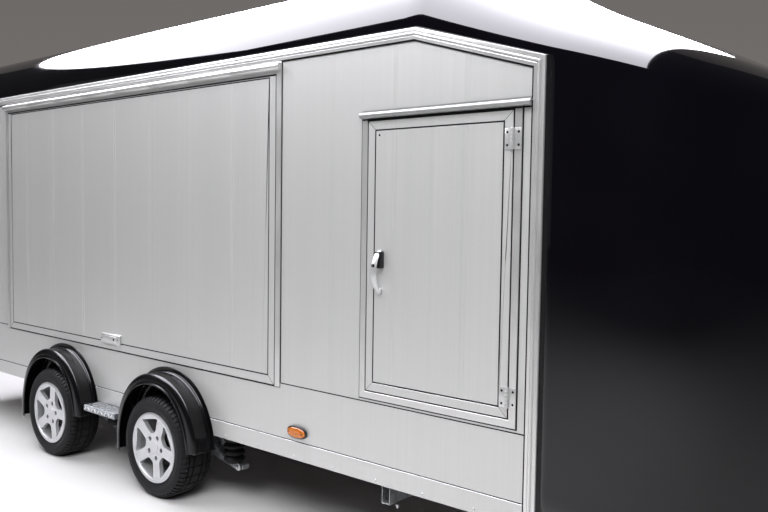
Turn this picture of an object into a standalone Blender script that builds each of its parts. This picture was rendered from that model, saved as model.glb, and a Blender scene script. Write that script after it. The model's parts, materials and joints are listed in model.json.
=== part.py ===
"""Enclosed twin-axle trailer: plank walls, moulded roof and nose. Metres, +X forward, +Z up, Y across."""
import math

import bmesh
import bpy
from mathutils import Matrix, Vector

# Overall sizes
BODY_REAR = -3.268
WALL_FRONT = 1.618
HALF_WIDTH = 1.04
NOSE_LENGTH = 0.89
RAIL_BOTTOM = 0.372
WALL_TOP = 2.159
ROOF_RISE = 0.435
COUPLING_REACH = 1.70

# Panels
PANEL = 0.025
SHELL = 0.020
TOUCH = 0.0003
CLEAR = 0.006

# Side profile
SILL_TOP = 0.7075
TRIM_WIDTH = 0.0465
TRIM_TOP = WALL_TOP + TRIM_WIDTH
TRIM_PROUD = 0.010
SLOPE_RUN = 0.561
SLOPE_FALL = 0.169
NOSE_BOTTOM = 0.387
SHOULDER_RUN = 0.213
SHOULDER_RISE = 0.291
SHOULDER_SLOPE = math.radians(20.6)
NOSE_POWER = 2.3
SPINE_SHARE = 0.62
CROWN_LEAST = 0.40
CROWN_FADE = 0.60

# Floor
FRAME_TOP = 0.4645
DECK = 0.018
DECK_TOP = FRAME_TOP + TOUCH + DECK
FRAME_BAYS = 4
CROSS_WIDTH = 0.060
RAIL_IN = 0.860

# Large side door, hinged along its top
ACCESS_REAR = WALL_FRONT - 3.897
ACCESS_FRONT = WALL_FRONT - 1.346
ACCESS_BOTTOM = 0.695
ACCESS_TOP = 2.096
ACCESS_JAMB = 0.031
DOOR_THICK = 0.030
DOOR_PROUD = 0.006
ACCESS_PIN_OUT = 0.018
ACCESS_PIN_UP = 0.012
LATCH_X = WALL_FRONT - 2.680
LATCH_HALF = 0.095

# Front side door, hinged at its front edge
ENTRY_REAR = WALL_FRONT - 0.791
ENTRY_FRONT = WALL_FRONT - 0.121
ENTRY_BOTTOM = 0.758
ENTRY_TOP = 1.858
ENTRY_JAMB = 0.029
ENTRY_PIN_OUT = 0.015
HINGE_LEVELS = (("upper", 1.758), ("lower", 0.834))
HANDLE_IN = 0.079
HANDLE_FOOT = 1.162
HANDLE_HEAD = 1.340
LOCK_FOOT = 1.250

# Rear ramp
REAR_POST = 0.050
RAMP_HALF = 0.985
RAMP_BOTTOM = 0.459
RAMP_TOP = 2.130
RAMP_THICK = 0.045
RAMP_GAP = 0.005
RAMP_PIN_IN = 0.013
RAMP_PIN_DOWN = 0.020
PORTAL_EDGE = 0.070

# Wheels and axles
AXLE_FRONT = WALL_FRONT - 2.140
AXLE_SPREAD = 1.060
TYRE_RADIUS = 0.2625
TYRE_WIDTH = 0.195
TYRE_OUT = 0.116
BEAD_RADIUS = 0.168
RIM_RADIUS = 0.1825
DRUM_RADIUS = 0.105
WHEEL_STEPS = 28
ARM_IN = 0.905
ARM_OUT = 0.945
PIVOT_AHEAD = 0.175
PIVOT_Z = 0.285
SPRING_AHEAD = 0.40
SPRING_SEAT = 0.222

# Wheel openings and mudguards
WELL_HALF = 0.300
WELL_IN = 0.925
WELL_TOP = 0.600
WELL_SKIN = 0.004
ARCH_HALF = 0.344
ARCH_TOP = 0.640
ARCH_CENTRE = 0.250
ARCH_POWER = 2.15
ARCH_OUT = 0.120
ARCH_SKIN = 0.006
ARCH_LIP = 0.048
ARCH_RING = 0.026
ARCH_END = 0.298
FLAP_END = 0.190

# Drawbar and jockey wheel
BEAM_HIGH = 0.070
BEAM_WIDE = 0.050
BEAM_TOP = RAIL_BOTTOM - TOUCH
BEAM_SPREAD = 0.62
BEAM_REAR = WALL_FRONT - 0.65
BEAM_TIP = WALL_FRONT + 1.13
OVERRUN_Z = BEAM_TOP + 0.062
OVERRUN_RADIUS = 0.032
JOCKEY_X = WALL_FRONT + 1.19
JOCKEY_Y = 0.115
JOCKEY_RADIUS = 0.100
JOCKEY_TUBE = 0.024
JOCKEY_INNER = 0.0145
JOCKEY_TOP = 0.70
JOCKEY_TRAIL = 0.035

# Small fittings
MARKER_X = WALL_FRONT - 1.190
MARKER_Z = 0.503
CROSS_TUBE_X = WALL_FRONT - 0.692
CROSS_TUBE_HALF = 0.0215
CROSS_TUBE_HIGH = 0.074
CROSS_TUBE_END = 1.025
TUBE_WALL = 0.004


def collection_named(name, hidden):
    made = bpy.data.collections.new(name)
    made.hide_render = hidden
    bpy.context.scene.collection.children.link(made)
    return made


def material_of(name, colour, roughness, metallic):
    made = bpy.data.materials.new(name)
    made.use_nodes = True
    shader = made.node_tree.nodes["Principled BSDF"]
    shader.inputs["Base Color"].default_value = (*colour, 1.0)
    shader.inputs["Roughness"].default_value = roughness
    shader.inputs["Metallic"].default_value = metallic
    return made


for old in list(bpy.data.objects):
    bpy.data.objects.remove(old)
parts = collection_named("enclosed_trailer", False)
cutters = collection_named("cutters", True)

aluminium = material_of("aluminium", (0.55, 0.55, 0.54), 0.38, 0.8)
gelcoat = material_of("gelcoat", (0.006, 0.006, 0.007), 0.08, 0.0)
plastic = material_of("black_plastic", (0.012, 0.012, 0.012), 0.45, 0.0)
tyre_rubber = material_of("tyre_rubber", (0.015, 0.015, 0.015), 0.85, 0.0)
silver_paint = material_of("silver_paint", (0.58, 0.58, 0.58), 0.32, 0.6)
zinc = material_of("zinc", (0.42, 0.43, 0.44), 0.45, 0.9)
stainless = material_of("stainless", (0.62, 0.62, 0.61), 0.22, 1.0)
plywood = material_of("plywood", (0.16, 0.09, 0.05), 0.6, 0.0)
amber_lens = material_of("amber_lens", (0.75, 0.22, 0.01), 0.15, 0.0)
red_lens = material_of("red_lens", (0.45, 0.01, 0.01), 0.15, 0.0)


def place(obj, group, finish):
    group.objects.link(obj)
    if finish:
        obj.data.materials.append(finish)
    if group is cutters:
        obj.hide_render = True
        obj.display_type = "WIRE"
    return obj


def from_bmesh(name, shape, finish, group=None):
    mesh = bpy.data.meshes.new(name)
    shape.to_mesh(mesh)
    shape.free()
    return place(bpy.data.objects.new(name, mesh), group or parts, finish)


def box(name, low, high, finish, group=None, bevel=0.0):
    shape = bmesh.new()
    size = [top - bottom for top, bottom in zip(high, low)]
    middle = [(top + bottom) / 2 for top, bottom in zip(high, low)]
    bmesh.ops.create_cube(shape, size=1.0)
    bmesh.ops.scale(shape, vec=size, verts=shape.verts)
    bmesh.ops.translate(shape, vec=middle, verts=shape.verts)
    obj = from_bmesh(name, shape, finish, group)
    if bevel:
        round_edges(obj, bevel)
    return obj


def round_edges(obj, width, segments=1):
    rounded = obj.modifiers.new("edges", "BEVEL")
    rounded.width = width
    rounded.segments = segments
    rounded.limit_method = "ANGLE"
    rounded.angle_limit = math.radians(40)


def rod(name, start, end, radius, finish, group=None, sides=16, end_radius=None):
    """A cylinder or cone from start to end."""
    shape = bmesh.new()
    line = Vector(end) - Vector(start)
    top = radius if end_radius is None else end_radius
    bmesh.ops.create_cone(shape, cap_ends=True, segments=sides, radius1=radius, radius2=top,
                          depth=line.length)
    turn = line.to_track_quat("Z", "Y").to_matrix().to_4x4()
    middle = (Vector(start) + Vector(end)) / 2
    bmesh.ops.transform(shape, matrix=Matrix.Translation(middle) @ turn, verts=shape.verts)
    obj = from_bmesh(name, shape, finish, group)
    obj.data.shade_smooth()
    obj.data.set_sharp_from_angle(angle=math.radians(35))
    return obj


def flat_curve(name, outlines, thickness):
    """A flat plate in the local XY plane, whose later outlines are holes."""
    data = bpy.data.curves.new(name, "CURVE")
    data.dimensions = "2D"
    data.fill_mode = "BOTH"
    data.extrude = thickness / 2
    for outline in outlines:
        spline = data.splines.new("POLY")
        spline.points.add(len(outline) - 1)
        spline.use_cyclic_u = True
        for point, place_xy in zip(spline.points, outline):
            point.co = (place_xy[0], place_xy[1], 0.0, 1.0)
    return data


def as_mesh(obj):
    """Swaps a curve for its welded mesh, so that a modifier can cut it."""
    graph = bpy.context.evaluated_depsgraph_get()
    mesh = bpy.data.meshes.new_from_object(obj.evaluated_get(graph))
    welded = bmesh.new()
    welded.from_mesh(mesh)
    bmesh.ops.remove_doubles(welded, verts=welded.verts, dist=0.00001)
    welded.to_mesh(mesh)
    welded.free()
    name = obj.name
    group = obj.users_collection[0]
    made = bpy.data.objects.new(name + "_mesh", mesh)
    made.matrix_world = obj.matrix_world
    group.objects.link(made)
    if group is cutters:
        made.hide_render = True
        made.display_type = "WIRE"
    bpy.data.objects.remove(obj)
    made.name = name
    return made


def side_plate(name, outlines, y_low, y_high, finish, group=None):
    """A plate whose outlines are (x, z) points."""
    obj = bpy.data.objects.new(name, flat_curve(name, outlines, y_high - y_low))
    place(obj, group or parts, finish)
    obj.location = (0.0, (y_low + y_high) / 2, 0.0)
    obj.rotation_euler = (math.pi / 2, 0.0, 0.0)
    bpy.context.view_layer.update()
    return as_mesh(obj)


def deck_plate(name, outlines, z_low, z_high, finish, group=None):
    """A plate whose outlines are (x, y) points."""
    obj = bpy.data.objects.new(name, flat_curve(name, outlines, z_high - z_low))
    place(obj, group or parts, finish)
    obj.location = (0.0, 0.0, (z_low + z_high) / 2)
    bpy.context.view_layer.update()
    return as_mesh(obj)


def cross_plate(name, outlines, x_low, x_high, finish, group=None):
    """A plate whose outlines are (y, z) points."""
    obj = bpy.data.objects.new(name, flat_curve(name, outlines, x_high - x_low))
    place(obj, group or parts, finish)
    turn = Matrix(((0, 0, 1), (1, 0, 0), (0, 1, 0))).to_4x4()
    obj.matrix_world = Matrix.Translation(((x_low + x_high) / 2, 0.0, 0.0)) @ turn
    bpy.context.view_layer.update()
    return as_mesh(obj)


def boolean(obj, other, operation):
    step = obj.modifiers.new(operation.lower(), "BOOLEAN")
    step.operation = operation
    step.solver = "EXACT"
    step.object = other


def joined(obj, others):
    for other in others:
        boolean(obj, other, "UNION")
    return obj


def cut(obj, others):
    for other in others:
        boolean(obj, other, "DIFFERENCE")
    return obj


def turned(name, profile, centre, outward, finish, group=None, steps=32):
    """A closed (radius, height) profile turned about Y. Height runs outwards, to the side given."""
    mesh = bpy.data.meshes.new(name)
    count = len(profile)
    mesh.from_pydata([(radius, 0.0, height) for radius, height in profile],
                     [(i, (i + 1) % count) for i in range(count)], [])
    obj = place(bpy.data.objects.new(name, mesh), group or parts, finish)
    screw = obj.modifiers.new("turn", "SCREW")
    screw.steps = steps
    screw.render_steps = steps
    screw.use_merge_vertices = True
    screw.merge_threshold = 0.0001
    obj.location = centre
    obj.rotation_euler = (-outward * math.pi / 2, 0.0, 0.0)
    return obj


def pivot(name, point, carried):
    """An empty on a joint's axis, which carries the pieces that move about it."""
    pin = bpy.data.objects.new(name, None)
    pin.empty_display_size = 0.1
    pin.location = point
    parts.objects.link(pin)
    bpy.context.view_layer.update()
    for obj in carried:
        obj.parent = pin
        obj.matrix_parent_inverse = pin.matrix_world.inverted()


def rectangle(low, high):
    return [low, (high[0], low[1]), high, (low[0], high[1])]


# The moulded roof and nose

def roof_height(inset):
    """Height above the roof's edge, at a distance in from the side."""
    if inset < SHOULDER_RUN:
        part = max(0.0, 1.0 - inset / SHOULDER_RUN)
        bow = SHOULDER_RISE - SHOULDER_RUN * math.tan(SHOULDER_SLOPE)
        return bow * math.sqrt(1.0 - part * part) + inset * math.tan(SHOULDER_SLOPE)
    run = HALF_WIDTH - SHOULDER_RUN
    part = min(1.0, (inset - SHOULDER_RUN) / run)
    start = math.tan(SHOULDER_SLOPE)
    bend = ROOF_RISE - SHOULDER_RISE
    return SHOULDER_RISE + start * run * part * (1 - part) ** 2 + bend * (3 - 2 * part) * part * part


def edge_height(x):
    """Height of the roof's lower edge: level, then falling from the peak to the nose."""
    past = max(0.0, x - (WALL_FRONT - SLOPE_RUN))
    return TRIM_TOP + TOUCH - SLOPE_FALL / SLOPE_RUN * past


def insets(count):
    """Distances in from the edge, close together on the shoulder."""
    return [HALF_WIDTH * (1 - math.cos(math.pi / 2 * (i / count) ** 1.15)) for i in range(count + 1)]


def roof_section(thickness, count=14):
    """(y, z) points over the roof, at a depth below its outer skin."""
    scale = (HALF_WIDTH - thickness) / HALF_WIDTH
    half = [(HALF_WIDTH - inset, roof_height(inset)) for inset in insets(count)]
    right = [(-y * scale, TRIM_TOP + TOUCH + h * (ROOF_RISE - thickness) / ROOF_RISE)
             for y, h in half]
    return right + [(-y, z) for y, z in reversed(right[:-1])]


def make_roof():
    outline = roof_section(0.0) + list(reversed(roof_section(SHELL)))
    cross_plate("roof_shell", [outline], BODY_REAR + REAR_POST + TOUCH,
                WALL_FRONT - SLOPE_RUN - TOUCH, gelcoat)


def nose_outline(count, inset=0.0):
    """(x, y) points round the nose in plan, from the right side to the left."""
    points = []
    for i in range(count + 1):
        angle = math.pi * i / count - math.pi / 2
        forward = max(0.0, math.cos(angle)) ** (2 / NOSE_POWER)
        across = abs(math.sin(angle)) ** (2 / NOSE_POWER)
        lean = Vector((forward ** (NOSE_POWER - 1) / NOSE_LENGTH,
                       math.copysign(across ** (NOSE_POWER - 1), angle) / HALF_WIDTH)).normalized()
        points.append((WALL_FRONT + NOSE_LENGTH * forward - inset * lean.x,
                       math.copysign(HALF_WIDTH * across, angle) - inset * lean.y))
    return points


def nose_rows(side_steps=5, front_steps=24):
    """Pairs of an edge point and its point on the spine, from the right side to the left."""
    rows = []
    start = WALL_FRONT - SLOPE_RUN
    flank = [(start + SLOPE_RUN * i / side_steps, -HALF_WIDTH) for i in range(side_steps)]
    for x, y in flank + nose_outline(front_steps) + [(x, -y) for x, y in reversed(flank)]:
        past = max(0.0, x - WALL_FRONT)
        rows.append(((x, y), (x - past * SPINE_SHARE, 0.0)))
    return rows


def nose_crown(x):
    """How high the crown stands over the edge line, falling from the peak towards the tip."""
    past = max(0.0, x - (WALL_FRONT - SLOPE_RUN))
    return ROOF_RISE * (CROWN_LEAST + (1 - CROWN_LEAST) * math.exp(-past / CROWN_FADE))


def nose_point(edge, spine, share):
    x = edge[0] + (spine[0] - edge[0]) * share
    y = edge[1] + (spine[1] - edge[1]) * share
    inset = share * math.hypot(edge[0] - spine[0], edge[1] - spine[1])
    rise = roof_height(min(inset, HALF_WIDTH)) / ROOF_RISE
    return (x, y, edge_height(x) + nose_crown(x) * rise)


def make_nose():
    """An open skin lofted from the sides to the spine, with the front wall below its edge."""
    shape = bmesh.new()
    shares = [inset / HALF_WIDTH for inset in insets(8)]
    rows = []
    for edge, spine in nose_rows():
        rows.append([shape.verts.new(nose_point(edge, spine, share)) for share in shares])
    for one, two in zip(rows, rows[1:]):
        for i in range(len(shares) - 1):
            shape.faces.new((one[i], two[i], two[i + 1], one[i + 1]))
    front = [row[0] for row in rows if row[0].co.x > WALL_FRONT - 0.0001]
    foot = [shape.verts.new((v.co.x, v.co.y, NOSE_BOTTOM)) for v in front]
    for i in range(len(front) - 1):
        shape.faces.new((foot[i], foot[i + 1], front[i + 1], front[i]))
    bmesh.ops.remove_doubles(shape, verts=shape.verts, dist=0.0001)
    bmesh.ops.recalc_face_normals(shape, faces=shape.faces)
    middle = max(shape.faces, key=lambda face: face.calc_center_median().z)
    if middle.normal.z < 0:
        bmesh.ops.reverse_faces(shape, faces=shape.faces)
    obj = from_bmesh("nose_shell", shape, gelcoat)
    wall = obj.modifiers.new("wall", "SOLIDIFY")
    wall.thickness = SHELL
    wall.offset = -1.0
    wall.use_even_offset = True
    obj.data.shade_smooth()
    peak = WALL_FRONT - SLOPE_RUN
    back, low, high = peak - 0.3, RAIL_BOTTOM - 0.1, TRIM_TOP + ROOF_RISE + 0.1
    behind = [(back, low), (WALL_FRONT + TOUCH, low),
              (WALL_FRONT + TOUCH, edge_height(WALL_FRONT) - TOUCH / 2),
              (peak + TOUCH, TRIM_TOP + TOUCH / 2), (peak + TOUCH, high), (back, high)]
    cut(obj, [side_plate("behind_nose", [behind], -2 * HALF_WIDTH, 2 * HALF_WIDTH, None, cutters)])


# Side panels

def trim_outline():
    """Along the top edge, down the slope and down the front corner."""
    peak = WALL_FRONT - SLOPE_RUN
    low_edge = TRIM_TOP - SLOPE_FALL
    fall = math.atan2(SLOPE_FALL, SLOPE_RUN)
    peak_in = TRIM_WIDTH * math.tan(fall / 2)
    corner_in = TRIM_WIDTH * math.tan(math.pi / 4 - fall / 2)
    return [
        (BODY_REAR + REAR_POST + TOUCH, WALL_TOP),
        (peak - peak_in, WALL_TOP),
        (WALL_FRONT - TRIM_WIDTH, low_edge - corner_in),
        (WALL_FRONT - TRIM_WIDTH, RAIL_BOTTOM),
        (WALL_FRONT, RAIL_BOTTOM),
        (WALL_FRONT, low_edge),
        (peak, TRIM_TOP),
        (BODY_REAR + REAR_POST + TOUCH, TRIM_TOP),
    ]


def wall_top_at(x):
    """Underside of the trim."""
    outline = trim_outline()
    peak, corner = outline[1], outline[2]
    if x <= peak[0]:
        return WALL_TOP
    return peak[1] + (corner[1] - peak[1]) * (x - peak[0]) / (corner[0] - peak[0])


def wall_outline(rear, front, bottom):
    peak = trim_outline()[1]
    points = [(rear, bottom), (front, bottom), (front, wall_top_at(front) - TOUCH)]
    if rear < peak[0] < front:
        points.append((peak[0], WALL_TOP - TOUCH))
    return points + [(rear, WALL_TOP - TOUCH)]


def y_band(side, outer, inner):
    """Low and high Y of a piece, from its distances outside the wall's face."""
    a = side * (HALF_WIDTH + outer)
    b = side * (HALF_WIDTH + inner)
    return min(a, b), max(a, b)


def make_trims():
    for side, word in ((-1, "right"), (1, "left")):
        low, high = y_band(side, TRIM_PROUD, -SHELL)
        side_plate("edge_trim_" + word, [trim_outline()], low, high, aluminium)


def make_walls():
    rear = BODY_REAR + REAR_POST + TOUCH
    front = WALL_FRONT - TRIM_WIDTH - TOUCH
    bottom = SILL_TOP + TOUCH
    low, high = y_band(-1, 0.0, -PANEL)
    jamb_rear = ACCESS_REAR - CLEAR - ACCESS_JAMB - TOUCH
    jamb_front = ACCESS_FRONT + CLEAR + ACCESS_JAMB + TOUCH
    side_plate("rear_wall_right", [wall_outline(rear, jamb_rear, bottom)], low, high, aluminium)
    edge = CLEAR + ENTRY_JAMB + TOUCH
    hole = rectangle((ENTRY_REAR - edge, ENTRY_BOTTOM - edge), (ENTRY_FRONT + edge, ENTRY_TOP + edge))
    side_plate("front_wall_right", [wall_outline(jamb_front, front, bottom), hole],
               low, high, aluminium)
    low, high = y_band(1, 0.0, -PANEL)
    side_plate("side_wall_left", [wall_outline(rear, front, bottom)], low, high, aluminium)


def arch_points(x, half, top, foot_front, foot_rear, count=16):
    """(x, z) points over a wheel at x, from the front foot to the rear foot."""
    points = [(x + half, foot_front)]
    for i in range(count + 1):
        angle = math.pi * i / count
        along = math.copysign(abs(math.cos(angle)) ** (2 / ARCH_POWER), math.cos(angle))
        points.append((x + half * along,
                       ARCH_CENTRE + (top - ARCH_CENTRE) * math.sin(angle) ** (2 / ARCH_POWER)))
    points.append((x - half, foot_rear))
    low = max(foot_front, foot_rear)
    return [(px, pz) for px, pz in points if pz > low or pz in (foot_front, foot_rear)]


def well_points(x):
    """The wheel opening in a sill, from its front corner to its rear corner."""
    top = WELL_TOP - WELL_SKIN
    arch = arch_points(x, WELL_HALF, top, RAIL_BOTTOM, RAIL_BOTTOM, 20)
    return [(px, pz) for px, pz in arch if pz >= RAIL_BOTTOM]


def make_sills():
    rear = BODY_REAR + REAR_POST + TOUCH
    front = WALL_FRONT - TRIM_WIDTH - TOUCH
    step = ACCESS_BOTTOM - CLEAR
    step_rear = ACCESS_REAR - CLEAR - ACCESS_JAMB - TOUCH
    step_front = ACCESS_FRONT + CLEAR + ACCESS_JAMB + TOUCH
    wells = well_points(AXLE_FRONT) + well_points(AXLE_FRONT - AXLE_SPREAD)
    bottom = [(rear, RAIL_BOTTOM)] + list(reversed(wells)) + [(front, RAIL_BOTTOM)]
    plain = bottom + [(front, SILL_TOP), (rear, SILL_TOP)]
    stepped = bottom + [(front, SILL_TOP), (step_front, SILL_TOP), (step_front, step),
                        (step_rear, step), (step_rear, SILL_TOP), (rear, SILL_TOP)]
    for side, word, outline in ((-1, "right", stepped), (1, "left", plain)):
        low, high = y_band(side, 0.0, -PANEL)
        side_plate("side_sill_" + word, [outline], low, high, aluminium)


def make_wheel_boxes():
    """Open boxes over the wheels, standing on the frame inside the load space."""
    rear = AXLE_FRONT - AXLE_SPREAD - WELL_HALF
    front = AXLE_FRONT + WELL_HALF
    wall = HALF_WIDTH - PANEL - TOUCH
    for side, word in ((-1, "right"), (1, "left")):
        low, high = sorted((side * (WELL_IN - WELL_SKIN), side * wall))
        outside = box("wheel_box_" + word, (rear - WELL_SKIN, low, FRAME_TOP + TOUCH),
                      (front + WELL_SKIN, high, WELL_TOP), aluminium)
        low, high = sorted((side * WELL_IN, side * (wall + PANEL)))
        cut(outside, [box("wheel_box_inside", (rear, low, FRAME_TOP - PANEL),
                          (front, high, WELL_TOP - WELL_SKIN), None, cutters)])


# Large side door

def make_access_door():
    low, high = y_band(-1, DOOR_PROUD, DOOR_PROUD - DOOR_THICK)
    leaf = rectangle((ACCESS_REAR, ACCESS_BOTTOM), (ACCESS_FRONT, ACCESS_TOP))
    door = side_plate("side_access_door", [leaf], low, high, aluminium)
    make_access_frame(low, high)
    latch = box("side_door_latch", (LATCH_X - LATCH_HALF, low - 0.018, ACCESS_BOTTOM + 0.032),
                (LATCH_X + LATCH_HALF, low - TOUCH, ACCESS_BOTTOM + 0.090), aluminium, bevel=0.008)
    pivot("side_door_pin", (LATCH_X, -HALF_WIDTH - ACCESS_PIN_OUT, ACCESS_TOP + ACCESS_PIN_UP),
          [door, latch])


def make_access_frame(low, high):
    """The frame at the sides and top, with the rolled hinge along its top."""
    out_rear = ACCESS_REAR - CLEAR - ACCESS_JAMB
    out_front = ACCESS_FRONT + CLEAR + ACCESS_JAMB
    foot = ACCESS_BOTTOM - CLEAR + TOUCH
    head = ACCESS_TOP + CLEAR
    portal = [(out_rear, foot), (out_rear + ACCESS_JAMB, foot), (out_rear + ACCESS_JAMB, head),
              (out_front - ACCESS_JAMB, head), (out_front - ACCESS_JAMB, foot), (out_front, foot),
              (out_front, WALL_TOP - TOUCH), (out_rear, WALL_TOP - TOUCH)]
    frame = side_plate("side_door_frame", [portal], low, high, aluminium)
    middle = (head + WALL_TOP) / 2 + 0.006
    roll = rod("side_door_roll", (out_rear, low - 0.0105, middle), (out_front, low - 0.0105, middle),
               0.014, None, cutters, sides=16)
    joined(frame, [roll])


# Front side door

def make_entry_door():
    low, high = y_band(-1, DOOR_PROUD, DOOR_PROUD - DOOR_THICK)
    leaf = rectangle((ENTRY_REAR, ENTRY_BOTTOM), (ENTRY_FRONT, ENTRY_TOP))
    door = side_plate("entry_door", [leaf], low, high, aluminium)
    edge = CLEAR + ENTRY_JAMB
    outer = rectangle((ENTRY_REAR - edge, ENTRY_BOTTOM - edge), (ENTRY_FRONT + edge, ENTRY_TOP + edge))
    inner = rectangle((ENTRY_REAR - CLEAR, ENTRY_BOTTOM - CLEAR), (ENTRY_FRONT + CLEAR, ENTRY_TOP + CLEAR))
    side_plate("entry_door_frame", [outer, inner], low, high, aluminium)
    handle = make_handle(low)
    make_entry_hinges(low)
    pivot("entry_door_pin", (ENTRY_FRONT + CLEAR / 2, -HALF_WIDTH - ENTRY_PIN_OUT, HANDLE_FOOT),
          [door, handle])
    rod("rain_gutter", (ENTRY_REAR - 0.060, low - 0.0123, ENTRY_TOP + edge - 0.012),
        (ENTRY_FRONT + 0.073, low - 0.0123, ENTRY_TOP + edge - 0.012), 0.012, aluminium, sides=12)


def make_handle(face):
    """A bow handle on the leaf's rear stile, with the lock in its upper half."""
    x = ENTRY_REAR + HANDLE_IN
    base = box("door_handle", (x - 0.018, face - 0.016, LOCK_FOOT),
               (x + 0.030, face - TOUCH, HANDLE_HEAD), stainless, bevel=0.004)
    data = bpy.data.curves.new("handle_bow", "CURVE")
    data.dimensions = "3D"
    data.bevel_depth = 0.009
    data.bevel_resolution = 2
    data.use_fill_caps = True
    spline = data.splines.new("POLY")
    steps = 10
    spline.points.add(steps)
    foot = HANDLE_FOOT + 0.006
    for i, point in enumerate(spline.points):
        share = i / steps
        bow = math.sin(math.pi * share)
        point.co = (x - 0.006, face - 0.010 - 0.034 * bow, foot + (HANDLE_HEAD - 0.006 - foot) * share, 1.0)
    bow = bpy.data.objects.new("handle_bow", data)
    place(bow, cutters, None)
    bpy.context.view_layer.update()
    pad = box("handle_foot", (x - 0.014, face - 0.014, HANDLE_FOOT),
              (x + 0.002, face - TOUCH, HANDLE_FOOT + 0.022), None, cutters)
    return joined(base, [as_mesh(bow), pad])


def make_entry_hinges(face):
    pin = ENTRY_FRONT + CLEAR / 2
    for word, middle in HINGE_LEVELS:
        plate = box("entry_hinge_" + word, (pin + 0.004, face - 0.006, middle - 0.036),
                    (pin + 0.034, face - TOUCH, middle + 0.036), stainless)
        barrel = rod("hinge_barrel_" + word, (pin, -HALF_WIDTH - ENTRY_PIN_OUT, middle - 0.037),
                     (pin, -HALF_WIDTH - ENTRY_PIN_OUT, middle + 0.037), 0.0075, None, cutters, 16)
        joined(plate, [barrel])


# Rear

def make_rear():
    posts = [(HALF_WIDTH, RAIL_BOTTOM), (-HALF_WIDTH, RAIL_BOTTOM)] + roof_section(0.0)
    hole = rectangle((-RAMP_HALF + PORTAL_EDGE / 2, DECK_TOP + TOUCH),
                     (RAMP_HALF - PORTAL_EDGE / 2, RAMP_TOP - PORTAL_EDGE / 2))
    frame = cross_plate("rear_frame", [posts, hole], BODY_REAR, BODY_REAR + REAR_POST, aluminium)
    outer = BODY_REAR - RAMP_GAP - RAMP_THICK
    ramp = box("rear_ramp", (outer, -RAMP_HALF, RAMP_BOTTOM),
               (BODY_REAR - RAMP_GAP, RAMP_HALF, RAMP_TOP), aluminium, bevel=0.004)
    x, z = outer + RAMP_PIN_IN, RAMP_BOTTOM - RAMP_PIN_DOWN
    pivot("ramp_pin", (x, 0.0, z), [ramp])
    joined(frame, [rod("ramp_tube", (x, -RAMP_HALF, z), (x, RAMP_HALF, z), 0.012, None, cutters)])
    for y in (-0.80, 0.0, 0.80):
        joined(frame, [box("ramp_lug", (x, y - 0.03, z - 0.010), (BODY_REAR + 0.004, y + 0.03, z + 0.010),
                           None, cutters)])
    make_lamp_bar()


def make_lamp_bar():
    top = RAIL_BOTTOM - TOUCH
    face = BODY_REAR - 0.020
    bar = box("lamp_bar", (face, -HALF_WIDTH, top - 0.120), (BODY_REAR + 0.040, HALF_WIDTH, top),
              plastic)
    joined(bar, [box("plate_panel", (face - 0.006, -0.26, top - 0.116), (face + 0.004, 0.26, top - 0.004),
                     None, cutters)])
    for side, word in ((-1, "right"), (1, "left")):
        low, high = sorted((side * 0.78, side * 1.00))
        box("rear_lamp_" + word, (face - 0.030, low, top - 0.110), (face - TOUCH, high, top - 0.010),
            red_lens, bevel=0.008)


# Floor and chassis

def notched(outline_rear, outline_front, side_y, notch_y, spans):
    """(x, y) points round a rectangle whose long sides are cut back over each span of x."""
    right = [(outline_rear, -side_y)]
    for low, high in spans:
        right += [(low, -side_y), (low, -notch_y), (high, -notch_y), (high, -side_y)]
    right.append((outline_front, -side_y))
    return right + [(x, -y) for x, y in reversed(right)]


def make_floor():
    inside = HALF_WIDTH - PANEL - TOUCH
    rear = BODY_REAR + REAR_POST + TOUCH
    front = WALL_FRONT - 0.060
    middles = (AXLE_FRONT - AXLE_SPREAD, AXLE_FRONT)
    spans = [(x - WELL_HALF, x + WELL_HALF) for x in middles]
    outline = notched(rear, front, inside, WELL_IN, spans)
    pitch = (front - rear - CROSS_WIDTH) / FRAME_BAYS
    holes = [rectangle((rear + CROSS_WIDTH + i * pitch, -RAIL_IN), (rear + (i + 1) * pitch, RAIL_IN))
             for i in range(FRAME_BAYS)]
    deck_plate("chassis_frame", [outline] + holes, RAIL_BOTTOM, FRAME_TOP, zinc)
    curve = nose_outline(24, SHELL + 0.003)
    curve = [(x, max(-inside, min(inside, y))) for x, y in curve if x > WALL_FRONT + 0.002]
    reach = WELL_HALF + WELL_SKIN + TOUCH
    spans = [(middles[0] - reach, middles[1] + reach)]
    deck = notched(rear, WALL_FRONT, inside, WELL_IN - WELL_SKIN - TOUCH, spans)
    half = len(deck) // 2
    deck_plate("load_floor", [deck[:half] + curve + deck[half:]], FRAME_TOP + TOUCH, DECK_TOP, plywood)


def make_axles():
    for x, word in ((AXLE_FRONT, "front"), (AXLE_FRONT - AXLE_SPREAD, "rear")):
        pivot_x = x + PIVOT_AHEAD
        reach = (ARM_IN + ARM_OUT) / 2
        tube = rod("axle_" + word, (pivot_x, -reach, PIVOT_Z), (pivot_x, reach, PIVOT_Z), 0.035, zinc)
        pieces = []
        for side in (-1, 1):
            pieces += suspension_arm(x, side, (pivot_x, PIVOT_Z))
        joined(tube, pieces)
        for side, hand in ((-1, "right"), (1, "left")):
            make_spring("spring_" + word + "_" + hand, x, side)


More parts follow.
